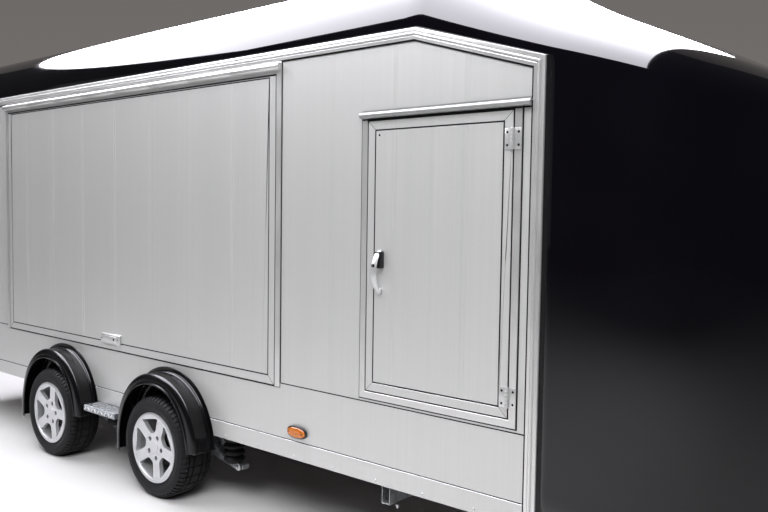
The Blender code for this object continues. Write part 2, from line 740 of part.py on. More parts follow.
def suspension_arm(x, side, hub):
    """Trailing arm, its forward lever, the stub axle and the hanger."""
    low, high = sorted((side * ARM_IN, side * ARM_OUT))
    arm = side_plate("arm", [[(x - 0.035, TYRE_RADIUS - 0.035), (x + 0.035, TYRE_RADIUS - 0.040),
                              (hub[0], hub[1] - 0.045), (x + 0.42, 0.190), (x + 0.465, 0.200),
                              (x + 0.465, SPRING_SEAT), (x + 0.335, SPRING_SEAT),
                              (hub[0] + 0.04, hub[1] + 0.020), (hub[0], hub[1] + 0.043),
                              (x - 0.035, TYRE_RADIUS + 0.035)]],
                     low, high, None, cutters)
    end = HALF_WIDTH + TYRE_OUT - TYRE_WIDTH / 2 + 0.004
    stub = rod("stub", (x, side * (ARM_OUT - 0.020), TYRE_RADIUS), (x, side * end, TYRE_RADIUS), 0.024,
               None, cutters)
    low, high = sorted((side * (RAIL_IN + 0.005), side * (RAIL_IN + 0.025)))
    hanger = box("hanger", (hub[0] - 0.05, low, hub[1] - 0.02),
                 (hub[0] + 0.05, high, RAIL_BOTTOM - TOUCH), None, cutters)
    return [arm, stub, hanger]


def make_spring(name, x, side):
    """A ribbed rubber spring between the lever and the rail."""
    top = RAIL_BOTTOM - TOUCH
    foot = SPRING_SEAT + TOUCH
    ribs = 3
    step = (top - foot) / ribs
    profile = [(0.012, top)]
    for i in range(ribs):
        peak = top - i * step
        profile += [(0.040, peak), (0.055, peak - step * 0.3), (0.055, peak - step * 0.7)]
    profile += [(0.040, foot), (0.012, foot)]
    mesh = bpy.data.meshes.new(name)
    count = len(profile)
    mesh.from_pydata([(radius, 0.0, height) for radius, height in profile],
                     [(i, (i + 1) % count) for i in range(count)], [])
    obj = place(bpy.data.objects.new(name, mesh), parts, tyre_rubber)
    obj.location = (x + SPRING_AHEAD, side * ARM_OUT, 0.0)
    screw = obj.modifiers.new("turn", "SCREW")
    screw.steps = 14
    screw.render_steps = 14
    screw.use_merge_vertices = True
    screw.merge_threshold = 0.0001


def make_wheels():
    for x, word in ((AXLE_FRONT, "front"), (AXLE_FRONT - AXLE_SPREAD, "rear")):
        for side, hand in ((-1, "right"), (1, "left")):
            make_wheel(word + "_" + hand, x, side)


def make_wheel(name, x, side):
    centre = (x, side * (HALF_WIDTH + TYRE_OUT - TYRE_WIDTH / 2), TYRE_RADIUS)
    half = TYRE_WIDTH / 2
    bead = half - 0.022
    crown = TYRE_RADIUS
    outer = [(BEAD_RADIUS, bead), (RIM_RADIUS + 0.004, half - 0.014), (crown - 0.050, half),
             (crown - 0.024, half - 0.003), (crown - 0.006, half - 0.018), (crown, half - 0.040)]
    profile = outer + [(radius, -height) for radius, height in reversed(outer)]
    turned("tyre_" + name, profile, centre, side, tyre_rubber, steps=WHEEL_STEPS)
    make_rim("rim_" + name, centre, side, half)


def make_rim(name, centre, side, half):
    lip = half - 0.0125
    barrel = [(BEAD_RADIUS - 0.010, lip + 0.006), (RIM_RADIUS, lip + 0.006),
              (RIM_RADIUS, lip), (BEAD_RADIUS - TOUCH, half - 0.021),
              (BEAD_RADIUS - TOUCH, 0.021 - half), (BEAD_RADIUS - 0.010, 0.021 - half)]
    face = 0.040
    disc = [(0.024, face - 0.004), (0.060, face), (BEAD_RADIUS - 0.006, face + 0.014),
            (BEAD_RADIUS - 0.006, face - 0.002), (0.060, face - 0.016), (0.024, face - 0.016)]
    drum = [(0.028, face - 0.012), (DRUM_RADIUS, face - 0.020), (DRUM_RADIUS, face - 0.072),
            (0.028, face - 0.072)]
    rim = turned(name, barrel, centre, side, silver_paint, steps=WHEEL_STEPS)
    extra = [turned("rim_disc", disc, centre, side, None, cutters, steps=WHEEL_STEPS),
             turned("rim_drum", drum, centre, side, None, cutters, steps=WHEEL_STEPS)]
    joined(rim, extra)
    windows = []
    for i in range(5):
        angle = math.radians(36 + 72 * i)
        reach = 0.1265
        x = centre[0] + reach * math.sin(angle)
        z = centre[2] + reach * math.cos(angle)
        y = centre[1] + side * (face + 0.002)
        windows.append(rod("rim_window", (x, y - 0.0190, z), (x, y + 0.0225, z), 0.0217,
                           None, cutters, sides=10))
    cut(rim, windows)


def make_mudguards():
    for x, word in ((AXLE_FRONT, "front"), (AXLE_FRONT - AXLE_SPREAD, "rear")):
        for side, hand in ((-1, "right"), (1, "left")):
            make_mudguard("mudguard_" + word + "_" + hand, x, side)


def make_mudguard(name, x, side):
    """A skin over the wheel with a lip outside and a ring against the wall."""
    outer = arch_points(x, ARCH_HALF, ARCH_TOP, ARCH_END, FLAP_END)
    skin = arch_points(x, ARCH_HALF - ARCH_SKIN, ARCH_TOP - ARCH_SKIN, ARCH_END, FLAP_END)
    low, high = y_band(side, ARCH_OUT, TOUCH)
    arch = side_plate(name, [outer + list(reversed(skin))], low, high, plastic)
    foot, flap = ARCH_END + 0.002, FLAP_END + 0.002
    middle = ARCH_SKIN / 2
    edge = arch_points(x, ARCH_HALF - middle, ARCH_TOP - middle, foot, flap)
    lip = arch_points(x, ARCH_HALF - ARCH_LIP, ARCH_TOP - ARCH_LIP, foot, flap)
    low, high = y_band(side, ARCH_OUT - 0.001, ARCH_OUT - ARCH_SKIN)
    flange = side_plate("flange", [edge + list(reversed(lip))], low, high, None, cutters)
    edge = arch_points(x, ARCH_HALF - middle, ARCH_TOP - middle, foot, foot)
    ring = arch_points(x, ARCH_HALF + ARCH_RING, ARCH_TOP + ARCH_RING * 0.9, foot, foot)
    low, high = y_band(side, ARCH_SKIN, TOUCH * 2)
    against = side_plate("ring", [ring + list(reversed(edge))], low, high, None, cutters)
    joined(arch, [flange, against])


def make_steps():
    reach = ARCH_HALF + ARCH_RING + 0.004
    rear = AXLE_FRONT - AXLE_SPREAD + reach
    front = AXLE_FRONT - reach
    top = RAIL_BOTTOM - TOUCH
    for side, word in ((-1, "right"), (1, "left")):
        low, high = y_band(side, ARCH_OUT - 0.020, TOUCH)
        box("step_plate_" + word, (rear, low, top - 0.034), (front, high, top), aluminium, bevel=0.003)


# Drawbar

def beam(name, start, end, finish, group=None):
    """A level box beam between two plan points."""
    shape = bmesh.new()
    line = Vector((end[0] - start[0], end[1] - start[1], 0.0))
    bmesh.ops.create_cube(shape, size=1.0)
    bmesh.ops.scale(shape, vec=(line.length, BEAM_WIDE, BEAM_HIGH), verts=shape.verts)
    bmesh.ops.rotate(shape, cent=(0, 0, 0), matrix=Matrix.Rotation(math.atan2(line.y, line.x), 3, "Z"),
                     verts=shape.verts)
    middle = ((start[0] + end[0]) / 2, (start[1] + end[1]) / 2, BEAM_TOP - BEAM_HIGH / 2)
    bmesh.ops.translate(shape, vec=middle, verts=shape.verts)
    return from_bmesh(name, shape, finish, group)


def make_drawbar():
    for side, word in ((-1, "right"), (1, "left")):
        beam("drawbar_" + word, (BEAM_REAR, side * (BEAM_SPREAD + 0.02)),
             (BEAM_TIP, side * 0.052), zinc)
    top = BEAM_TOP + TOUCH
    base = box("overrun_unit", (BEAM_TIP - 0.34, -0.085, top), (BEAM_TIP + 0.02, 0.085, top + 0.012),
               zinc)
    tube = rod("overrun_tube", (BEAM_TIP - 0.22, 0, OVERRUN_Z), (BEAM_TIP + 0.20, 0, OVERRUN_Z),
               OVERRUN_RADIUS, None, cutters)
    saddle = box("overrun_saddle", (BEAM_TIP - 0.20, -0.05, top + 0.006),
                 (BEAM_TIP - 0.02, 0.05, OVERRUN_Z + 0.010), None, cutters)
    joined(base, [tube, saddle])
    make_coupling()
    make_brake_lever(top)


def make_coupling():
    start = BEAM_TIP + 0.20 + TOUCH
    tip = WALL_FRONT + COUPLING_REACH
    head = rod("coupling_head", (start, 0, OVERRUN_Z), (start + 0.20, 0, OVERRUN_Z),
               0.034, plastic, sides=16)
    cup = rod("coupling_cup", (tip - 0.045, 0, OVERRUN_Z - 0.038), (tip - 0.045, 0, OVERRUN_Z + 0.050),
              0.045, None, cutters)
    neck = box("coupling_neck", (start + 0.12, -0.030, OVERRUN_Z - 0.020),
               (tip - 0.04, 0.030, OVERRUN_Z + 0.048), None, cutters)
    lever = box("coupling_lever", (tip - 0.22, -0.018, OVERRUN_Z + 0.040),
                (tip - 0.02, 0.018, OVERRUN_Z + 0.080), None, cutters)
    ball = rod("coupling_socket", (tip - 0.045, 0, OVERRUN_Z - 0.060), (tip - 0.045, 0, OVERRUN_Z + 0.012),
               0.0255, None, cutters)
    joined(head, [cup, neck, lever])
    cut(head, [ball])


def make_brake_lever(top):
    x = BEAM_TIP - 0.10
    lever = box("brake_lever", (x - 0.020, -0.112, top), (x + 0.020, -0.0853, top + 0.110), zinc)
    grip = rod("brake_grip", (x, -0.099, top + 0.100), (x - 0.09, -0.099, top + 0.330), 0.013, None,
               cutters, 16)
    joined(lever, [grip])


def make_jockey():
    """Outer tube with its clamp, inner leg, fork and wheel."""
    y = JOCKEY_Y
    x = JOCKEY_X
    foot = BEAM_TOP - BEAM_HIGH
    outer = [(JOCKEY_TUBE - 0.0035, JOCKEY_TOP), (JOCKEY_TUBE, JOCKEY_TOP), (JOCKEY_TUBE, foot),
             (JOCKEY_TUBE - 0.0035, foot)]
    tube = upright("jockey_tube", outer, (x, y), zinc)
    low = BEAM_TOP + 0.0126
    clamp = box("jockey_clamp", (x - 0.060, 0.0350, low), (x + 0.010, y - JOCKEY_TUBE + 0.0025, low + 0.06),
                None, cutters)
    joined(tube, [clamp])
    leg = rod("jockey_leg", (x, y, 0.245), (x, y, JOCKEY_TOP - 0.060), JOCKEY_INNER, zinc, sides=20)
    joined(leg, [rod("jockey_plug", (x, y, 0.2450), (x, y, foot - 0.055), JOCKEY_TUBE, None, cutters, 20)])
    pivot("jockey_leg_axis", (x, y, foot), [leg])
    axle_x = x - JOCKEY_TRAIL
    pivot("jockey_fork_axis", (x, y, 0.240), [make_fork(x, y, axle_x)])
    profile = [(0.010, 0.026), (0.050, 0.026), (0.052, 0.020), (0.076, 0.022), (0.094, 0.020),
               (JOCKEY_RADIUS, 0.010), (JOCKEY_RADIUS, -0.010), (0.094, -0.020), (0.076, -0.022),
               (0.052, -0.020), (0.050, -0.026), (0.010, -0.026)]
    turned("jockey_wheel", profile, (axle_x, y, JOCKEY_RADIUS), 1, tyre_rubber, steps=20)


def make_fork(x, y, axle_x):
    fork = box("jockey_fork", (x - 0.030, y - 0.040, 0.226), (x + 0.030, y + 0.040, 0.2397), zinc)
    tines = []
    for side in (-1, 1):
        low, high = sorted((y + side * 0.034, y + side * 0.040))
        tines.append(side_plate("jockey_tine", [[(x - 0.030, 0.240), (x + 0.030, 0.240),
                                                 (axle_x + 0.020, 0.088), (axle_x - 0.020, 0.088)]],
                                low, high, None, cutters))
    axle = rod("jockey_axle", (axle_x, y - 0.044, JOCKEY_RADIUS), (axle_x, y + 0.044, JOCKEY_RADIUS),
               0.008, None, cutters, 16)
    return joined(fork, tines + [axle])


def upright(name, profile, centre, finish):
    """A closed (radius, height) profile turned about a vertical axis."""
    mesh = bpy.data.meshes.new(name)
    count = len(profile)
    mesh.from_pydata([(radius, 0.0, height) for radius, height in profile],
                     [(i, (i + 1) % count) for i in range(count)], [])
    obj = place(bpy.data.objects.new(name, mesh), parts, finish)
    screw = obj.modifiers.new("turn", "SCREW")
    screw.steps = 16
    screw.render_steps = 16
    screw.use_merge_vertices = True
    screw.merge_threshold = 0.0001
    obj.location = (centre[0], centre[1], 0.0)
    return obj


# Small fittings

def make_fittings():
    for side, word in ((-1, "right"), (1, "left")):
        low, high = y_band(side, 0.022, TOUCH)
        box("side_marker_" + word, (MARKER_X - 0.0605, low, MARKER_Z - 0.028),
            (MARKER_X + 0.0605, high, MARKER_Z + 0.028), amber_lens, bevel=0.006)
    top = RAIL_BOTTOM - TOUCH - TUBE_WALL
    foot = top - CROSS_TUBE_HIGH
    outer = box("cross_tube", (CROSS_TUBE_X - CROSS_TUBE_HALF, -CROSS_TUBE_END, foot),
                (CROSS_TUBE_X + CROSS_TUBE_HALF, CROSS_TUBE_END, top), zinc)
    bore = CROSS_TUBE_HALF - TUBE_WALL
    for side in (-1, 1):
        low, high = sorted((side * 0.70, side * (CROSS_TUBE_END + 0.010)))
        cut(outer, [box("tube_bore", (CROSS_TUBE_X - bore, low, foot + TUBE_WALL),
                        (CROSS_TUBE_X + bore, high, top - TUBE_WALL), None, cutters)])
        low, high = sorted((side * 0.96, side * 1.015))
        joined(outer, [box("tube_pad", (CROSS_TUBE_X - 0.055, low, top - 0.002),
                           (CROSS_TUBE_X + 0.055, high, top + TUBE_WALL), None, cutters)])


make_floor()
make_sills()
make_wheel_boxes()
make_walls()
make_trims()
make_roof()
make_nose()
make_rear()
make_access_door()
make_entry_door()
make_axles()
make_wheels()
make_mudguards()
make_steps()
make_drawbar()
make_jockey()
make_fittings()
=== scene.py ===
import json
import math

import bmesh
import bpy
from mathutils import Matrix, Vector

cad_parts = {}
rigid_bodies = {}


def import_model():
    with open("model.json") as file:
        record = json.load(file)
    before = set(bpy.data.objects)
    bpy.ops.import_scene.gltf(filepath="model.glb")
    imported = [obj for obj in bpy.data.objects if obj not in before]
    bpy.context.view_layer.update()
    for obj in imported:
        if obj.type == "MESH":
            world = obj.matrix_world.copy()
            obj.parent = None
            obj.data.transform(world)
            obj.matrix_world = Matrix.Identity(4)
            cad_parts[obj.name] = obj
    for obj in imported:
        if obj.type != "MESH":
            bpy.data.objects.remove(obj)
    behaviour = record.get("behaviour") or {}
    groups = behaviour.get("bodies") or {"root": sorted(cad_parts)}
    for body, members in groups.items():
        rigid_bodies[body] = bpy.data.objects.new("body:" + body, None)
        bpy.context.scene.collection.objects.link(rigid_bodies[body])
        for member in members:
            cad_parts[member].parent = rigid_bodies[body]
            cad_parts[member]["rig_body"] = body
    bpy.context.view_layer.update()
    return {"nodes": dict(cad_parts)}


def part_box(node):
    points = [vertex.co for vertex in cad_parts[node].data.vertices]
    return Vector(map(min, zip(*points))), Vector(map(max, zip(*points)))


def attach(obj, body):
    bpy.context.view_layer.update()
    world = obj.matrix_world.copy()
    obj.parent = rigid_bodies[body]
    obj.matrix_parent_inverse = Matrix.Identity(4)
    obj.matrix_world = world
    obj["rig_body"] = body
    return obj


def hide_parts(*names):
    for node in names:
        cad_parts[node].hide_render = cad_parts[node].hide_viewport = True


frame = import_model()
nodes = frame["nodes"]
for startup in ("Cube", "Light", "Camera"):
    if startup in bpy.data.objects:
        bpy.data.objects.remove(bpy.data.objects[startup])
print("frame loaded:", len(nodes), "nodes")

shell = "trailer_body"
wallY = -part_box("rear_wall_right")[0].y  # the side's flat face
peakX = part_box("roof_shell")[1].x
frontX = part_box("edge_trim_right")[1].x
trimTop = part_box("edge_trim_right")[1].z
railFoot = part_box("side_sill_right")[0].z
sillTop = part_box("side_sill_right")[1].z
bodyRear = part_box("rear_frame")[0].x
corners = ("front_right", "front_left", "rear_right", "rear_left")


# finishes

def linear(hexColour):
    parts = [int(hexColour[i:i + 2], 16) / 255 for i in (1, 3, 5)]
    return tuple(c / 12.92 if c <= 0.04045 else ((c + 0.055) / 1.055) ** 2.4 for c in parts) + (1.0,)


def finish(name, shader):
    made = bpy.data.materials.new(name)
    made.use_nodes = True
    sockets = made.node_tree.nodes["Principled BSDF"].inputs
    for socket, value in shader.items():
        sockets[socket].default_value = linear(value) if isinstance(value, str) else value
    return made


def addNode(material, kind, settings=None, links=None):
    made = material.node_tree.nodes.new(kind)
    for name, value in (settings or {}).items():
        if name == "stops":
            for i, (place, colour) in enumerate(value):
                stop = made.color_ramp.elements[i] if i < 2 else made.color_ramp.elements.new(place)
                stop.position = place
                stop.color = linear(colour)
        elif name in made.inputs:
            made.inputs[name].default_value = value
        else:
            setattr(made, name, value)
    for name, source in (links or {}).items():
        material.node_tree.links.new(source, made.inputs[name])
    return made


def grain(material, size, tones, rough, depth, stretch=(1, 1, 1), detail=3.0):
    # size is the pattern's feature in millimetres, and stretch lengthens it along an axis
    shader = material.node_tree.nodes["Principled BSDF"]
    link = material.node_tree.links.new
    where = addNode(material, "ShaderNodeTexCoord").outputs["Object"]
    spread = addNode(material, "ShaderNodeMapping", {"Scale": tuple(1000 / size / s for s in stretch)},
                     {"Vector": where})
    noise = addNode(material, "ShaderNodeTexNoise", {"Scale": 1.0, "Detail": detail},
                    {"Vector": spread.outputs["Vector"]})
    colour = addNode(material, "ShaderNodeValToRGB", {"stops": [(0.3, tones[0]), (0.7, tones[1])]},
                     {"Fac": noise.outputs["Fac"]})
    link(colour.outputs["Color"], shader.inputs["Base Color"])
    gloss = addNode(material, "ShaderNodeMapRange",
                    {"From Min": 0.3, "From Max": 0.7, "To Min": rough[0], "To Max": rough[1]},
                    {"Value": noise.outputs["Fac"]})
    link(gloss.outputs["Result"], shader.inputs["Roughness"])
    bump = addNode(material, "ShaderNodeBump", {"Strength": 1.0, "Distance": depth / 1000},
                   {"Height": noise.outputs["Fac"]})
    link(bump.outputs["Normal"], shader.inputs["Normal"])
    return noise


# anodised aluminium, extruded planks: a satin skin that spreads the light, with die lines up each plank
plankMetal = finish("anodisedAluminiumPlank", {"Metallic": 0.4})
grain(plankMetal, 9, ("#C6C7C6", "#CACAC9"), (0.38, 0.42), 0.003, (1, 1, 400))

# anodised aluminium, drawn section: brighter than the planks, with lines along it
sectionMetal = finish("anodisedAluminiumSection", {"Metallic": 0.65})
grain(sectionMetal, 3, ("#CFCFCE", "#D8D8D7"), (0.28, 0.36), 0.01, (60, 1, 60))

# polyester gelcoat from a polished mould: deep black, with a long soft ripple under a hard gloss
gelcoat = finish("blackGelcoat", {"Specular IOR Level": 0.3, "Coat Weight": 0.3, "Coat Roughness": 0.02})
grain(gelcoat, 260, ("#060509", "#08070C"), (0.04, 0.06), 0.25, detail=0.0)

# moulded polyethylene: black with a fine leathery grain that catches light on its edges; also the black of the
# wheel-well liners and plate, partly painted shade
guardPlasticAndWellShade = finish("mouldedPolyethyleneAndWellShade", {"Specular IOR Level": 0.35})
grain(guardPlasticAndWellShade, 2.5, ("#070708", "#0B0B0D"), (0.18, 0.27), 0.03)

# ABS housings: harder and a little glossier than the guards
housingPlastic = finish("mouldedAbs", {})
grain(housingPlastic, 4, ("#101012", "#17171A"), (0.28, 0.36), 0.03)

# tyre rubber, carbon black: dull, with a dry bloom
tyreRubber = finish("tyreRubber", {"Specular IOR Level": 0.25})
grain(tyreRubber, 5, ("#0F0F10", "#161618"), (0.58, 0.74), 0.12)

# EPDM seal and bellows rubber: darker and smoother than the tyres; also the black of strips painted as shade in
# gaps, under the gutter and at the hinge roll
sealRubberAndPaintedShade = finish("sealRubberAndPaintedShade", {"Specular IOR Level": 0.25})
grain(sealRubberAndPaintedShade, 6, ("#060607", "#0D0D0E"), (0.55, 0.70), 0.05)

# cast alloy wheel under silver lacquer: fine flake below a clear coat
wheelLacquer = finish("silverWheelLacquer", {"Metallic": 0.55, "Coat Weight": 0.6, "Coat Roughness": 0.08})
grain(wheelLacquer, 1.2, ("#B9BABD", "#C9CACC"), (0.28, 0.36), 0.01)

# turned cast iron drum: dark, with rust starting; also the dark of the wheel nuts, painted shade of their
# recesses
darkIronAndRecessShade = finish("castIronDrumAndRecessShade", {"Metallic": 0.7})
grain(darkIronAndRecessShade, 9, ("#121212", "#1E1C1B"), (0.50, 0.70), 0.08)

# die-cast zinc under satin chrome: hinges, handle and latch, soft reflections
satinCast = finish("satinZincCasting", {"Metallic": 0.6})
grain(satinCast, 3, ("#C6C7C7", "#D2D2D2"), (0.30, 0.38), 0.01)

# mill-finish gutter: greyer than the anodised sections
millMetal = finish("millFinishAluminium", {"Metallic": 0.5})
grain(millMetal, 4, ("#8C8D8C", "#999A99"), (0.38, 0.48), 0.01, (60, 1, 1))

# stainless steel, polished by belt; also the bright of the step plates' raised bars, a painted highlight
polishedSteelAndTreadHighlight = finish("polishedStainlessAndTreadHighlight", {"Metallic": 1.0})
grain(polishedSteelAndTreadHighlight, 2, ("#C9C9C8", "#D8D8D7"), (0.10, 0.18), 0.005, (1, 1, 20))

# bright zinc plate on screws, bolts and small levers
zincPlate = finish("brightZincPlate", {"Metallic": 1.0})
grain(zincPlate, 4, ("#A9ABAC", "#C2C4C5"), (0.25, 0.40), 0.01)

# rolled aluminium tread plate
treadPlate = finish("aluminiumTreadPlate", {"Metallic": 0.8})
grain(treadPlate, 12, ("#B4B4B2", "#C8C8C6"), (0.26, 0.40), 0.04)

# birch plywood with a phenol film: dark brown, with the press mesh in it
phenolPly = finish("phenolFacedPlywood", {})
grain(phenolPly, 5, ("#3A2619", "#4A3122"), (0.42, 0.60), 0.10)

# cast coupling under black powder coat
powderCoat = finish("blackPowderCoat", {})
grain(powderCoat, 3, ("#111112", "#1A1A1B"), (0.38, 0.50), 0.05)

# acrylic lenses: light goes a little way in, and prisms show through the gloss; the amber one also has a faint
# painted glow in its own colour
amberAcrylicPaintedGlow = finish("amberAcrylicPaintedGlow", {"Coat Weight": 0.5, "Subsurface Weight": 0.2,
                                       "Emission Color": "#D06A08", "Emission Strength": 0.03})
grain(amberAcrylicPaintedGlow, 9, ("#A84A04", "#DE8414"), (0.06, 0.12), 0.25)
redAcrylic = finish("redAcrylic", {"Coat Weight": 0.5, "Subsurface Weight": 0.2})
grain(redAcrylic, 6, ("#7E0A08", "#A81410"), (0.06, 0.12), 0.15)
clearAcrylic = finish("clearAcrylic", {"Coat Weight": 0.5})
grain(clearAcrylic, 6, ("#C8C8C4", "#E4E4E0"), (0.06, 0.12), 0.15)

# glass-fibre laminate inside the shell: grey flow coat over chopped strand
flowCoat = finish("flowCoatedLaminate", {})
grain(flowCoat, 18, ("#6E6E6C", "#7A7A78"), (0.45, 0.60), 0.6)

# plain plate for a number, left blank
plateVinyl = finish("blankPlateVinyl", {"Coat Weight": 0.3})
grain(plateVinyl, 3, ("#D9D9D3", "#E2E2DC"), (0.30, 0.36), 0.01)

# hot-dip zinc on steel: spangles a thumbnail wide, dulled by weather
galvanised = finish("hotDipGalvanised", {"Metallic": 0.75})
grain(galvanised, 30, ("#8E9193", "#A4A7A9"), (0.36, 0.50), 0.03)
spangleShader = galvanised.node_tree.nodes["Principled BSDF"]
spangle = addNode(galvanised, "ShaderNodeTexVoronoi", {"Scale": 90.0},
                  {"Vector": galvanised.node_tree.nodes["Texture Coordinate"].outputs["Object"]})
spangleTone = addNode(galvanised, "ShaderNodeValToRGB",
                      {"stops": [(0.2, "#858A8D"), (0.8, "#ADB1B3")]}, {"Fac": spangle.outputs["Color"]})
galvanised.node_tree.links.new(spangleTone.outputs["Color"], spangleShader.inputs["Base Color"])
print("finishes made:", len(bpy.data.materials))


# making pieces

creaseAngle = 35  # faces that meet at more than this keep a hard edge between them
weld, fineWeld = 0.00002, 0.00001  # points nearer than this are made one


def edgesOf(verts):
    return list(dict.fromkeys(e for v in verts for e in v.link_edges))


def block(shape, low, high, edge=0.0, steps=2):
    made = bmesh.ops.create_cube(shape, size=1.0)["verts"]
    bmesh.ops.scale(shape, vec=Vector(high) - Vector(low), verts=made)
    bmesh.ops.translate(shape, vec=(Vector(low) + Vector(high)) / 2, verts=made)
    if edge:
        bmesh.ops.bevel(shape, geom=edgesOf(made), offset=edge, segments=steps, profile=0.5, affect="EDGES",
                        material=-1, clamp_overlap=True)


def bar(shape, start, end, radius, steps=24, tip=None, edge=0.0):
    line = Vector(end) - Vector(start)
    turn = line.to_track_quat("Z", "Y").to_matrix().to_4x4()
    place = Matrix.Translation((Vector(start) + Vector(end)) / 2) @ turn
    far = radius if tip is None else tip
    made = bmesh.ops.create_cone(shape, cap_ends=True, segments=steps, radius1=radius, radius2=far,
                                 depth=line.length, matrix=place)["verts"]
    if edge:
        rims = [e for e in edgesOf(made) if any(len(f.verts) > 4 for f in e.link_faces)]
        bmesh.ops.bevel(shape, geom=rims, offset=edge, segments=2, profile=0.5, affect="EDGES", material=-1,
                        clamp_overlap=True)


def lathe(shape, profile, middle, axis, steps=64):
    # profile is a closed run of (radius, along) points
    axis = Vector(axis).normalized()
    middle = Vector(middle)
    out = axis.orthogonal().normalized()
    verts = [shape.verts.new(middle + out * radius + axis * along) for radius, along in profile]
    edges = [shape.edges.new((verts[i - 1], verts[i])) for i in range(len(verts))]
    bmesh.ops.spin(shape, geom=verts + edges, cent=middle, axis=axis, angle=math.tau, steps=steps,
                   use_merge=True)


def sheetOf(shape, across, along, where):
    # a grid whose points are placed by where(u, v), both from 0 to 1
    made = bmesh.ops.create_grid(shape, x_segments=across, y_segments=along, size=0.5)["verts"]
    for v in made:
        v.co = where(v.co.x + 0.5, v.co.y + 0.5)


def makePiece(name, shape, material, body=shell, replaced=(), smooth=creaseAngle, settle=True):
    bmesh.ops.remove_doubles(shape, verts=shape.verts, dist=fineWeld)
    if settle:
        bmesh.ops.recalc_face_normals(shape, faces=shape.faces)
    mesh = bpy.data.meshes.new(name)
    shape.to_mesh(mesh)
    shape.free()
    made = bpy.data.objects.new(name, mesh)
    bpy.context.scene.collection.objects.link(made)
    mesh.materials.append(material)
    mesh.shade_smooth()
    mesh.set_sharp_from_angle(angle=math.radians(smooth))
    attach(made, body)
    if replaced:
        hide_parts(*replaced)
    return made


def thicken(made, thickness, offset=-1.0):
    wall = made.modifiers.new("thickness", "SOLIDIFY")
    wall.thickness = thickness
    wall.offset = offset
    wall.use_even_offset = True


def soften(made, width, steps=2):
    edge = made.modifiers.new("softEdges", "BEVEL")
    edge.width = width
    edge.segments = steps
    edge.limit_method = "ANGLE"
    edge.angle_limit = math.radians(creaseAngle)
    edge.harden_normals = True
    return edge


def carve(made, cutter, flat=False):
    # cuts a bmesh away and keeps the result
    mesh = bpy.data.meshes.new("cutter")
    cutter.to_mesh(mesh)
    cutter.free()
    knife = bpy.data.objects.new("cutter", mesh)
    bpy.context.scene.collection.objects.link(knife)
    cut = made.modifiers.new("cut", "BOOLEAN")
    cut.solver = "EXACT"
    cut.use_self = True
    cut.object = knife
    bpy.context.view_layer.update()
    whole = bpy.data.meshes.new_from_object(made.evaluated_get(bpy.context.evaluated_depsgraph_get()))
    made.modifiers.clear()
    made.data = whole
    bpy.data.objects.remove(knife)
    if flat:
        whole.shade_flat()
    else:
        whole.shade_smooth()
        whole.set_sharp_from_angle(angle=math.radians(creaseAngle))


def refine(node, material, width, cutter=None, steps=2):
    # a copy of a CAD solid with its facets joined and its edges softened
    body = nodes[node]["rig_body"]
    shape = bmesh.new()
    shape.from_mesh(nodes[node].data)
    bmesh.ops.remove_doubles(shape, verts=shape.verts, dist=weld)
    bmesh.ops.dissolve_limit(shape, angle_limit=math.radians(0.5), verts=shape.verts, edges=shape.edges)
    made = makePiece(node + "_skin", shape, material, body, (node,), settle=False)
    if cutter:
        carve(made, cutter, True)
    if width:
        soften(made, width, steps).harden_normals = not cutter


def screws(shape, places, out, radius, high=0.0022):
    # low cone-shaped heads
    for place in places:
        bar(shape, Vector(place), Vector(place) + Vector(out) * high, radius, 12, radius * 0.55)


# moulded roof and nose

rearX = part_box("roof_shell")[0].x
shellForm = {"shoulderRun": 0.213, "shoulderRise": 0.291, "slope": 20.6, "crownRise": 0.435,
             "noseLength": 0.89, "slopeRun": 0.561, "slopeFall": 0.169, "nosePower": 2.3, "spineShare": 0.62,
             "crownLeast": 0.40, "crownFade": 0.60, "noseFoot": 0.387, "wall": 0.020, "capRadius": 0.048,
             "capShare": 0.3, "capMiddle": 0.02, "roofShare": 0.22, "flankShare": 0.08}
noseStart = shellForm["roofShare"] + shellForm["flankShare"]  # where the nose begins along a row


def roofHeight(inset):
    # height over the roof's edge, at a distance in from the side
    run, rise, crown = shellForm["shoulderRun"], shellForm["shoulderRise"], shellForm["crownRise"]
    lean = math.tan(math.radians(shellForm["slope"]))
    if inset < run:
        part = max(0.0, 1.0 - inset / run)
        return (rise - run * lean) * math.sqrt(1.0 - part * part) + inset * lean
    rest = wallY - run
    part = min(1.0, (inset - run) / rest)
    return rise + lean * rest * part * (1 - part) ** 2 + (crown - rise) * (3 - 2 * part) * part * part


def edgeHeight(x):
    return trimTop + 0.0003 - shellForm["slopeFall"] / shellForm["slopeRun"] * max(0.0, x - peakX)


def shellRow(share):
    # the edge point and the spine point of a row, from the rear right corner round the nose to the rear left
    half = min(share, 1.0 - share)
    side = -1 if share <= 0.5 else 1
    if half < noseStart:
        roofShare = shellForm["roofShare"]
        x = peakX + (frontX - peakX) * (half - roofShare) / shellForm["flankShare"]
        if half < roofShare:
            x = rearX + (peakX - rearX) * half / roofShare
        return (x, side * wallY), (x, 0.0)
    turn = (half - noseStart) / (0.5 - noseStart) * math.pi / 2
    power = 2 / shellForm["nosePower"]
    x = frontX + shellForm["noseLength"] * max(0.0, math.sin(turn)) ** power
    y = wallY * max(0.0, math.cos(turn)) ** power
    return (x, side * y), (x - (x - frontX) * shellForm["spineShare"], 0.0)


def shellPoint(u, v):
    edge, spine = shellRow(u)
    share = 1 - math.cos(math.pi / 2 * v ** 1.15)
    x = edge[0] + (spine[0] - edge[0]) * share
    y = edge[1] + (spine[1] - edge[1]) * share
    past = max(0.0, x - peakX)
    least = shellForm["crownLeast"]
    fade = least + (1 - least) * math.exp(-past / shellForm["crownFade"])
    inset = share * math.hypot(edge[0] - spine[0], edge[1] - spine[1])
    return Vector((x, y, edgeHeight(x) + fade * roofHeight(min(inset, wallY))))


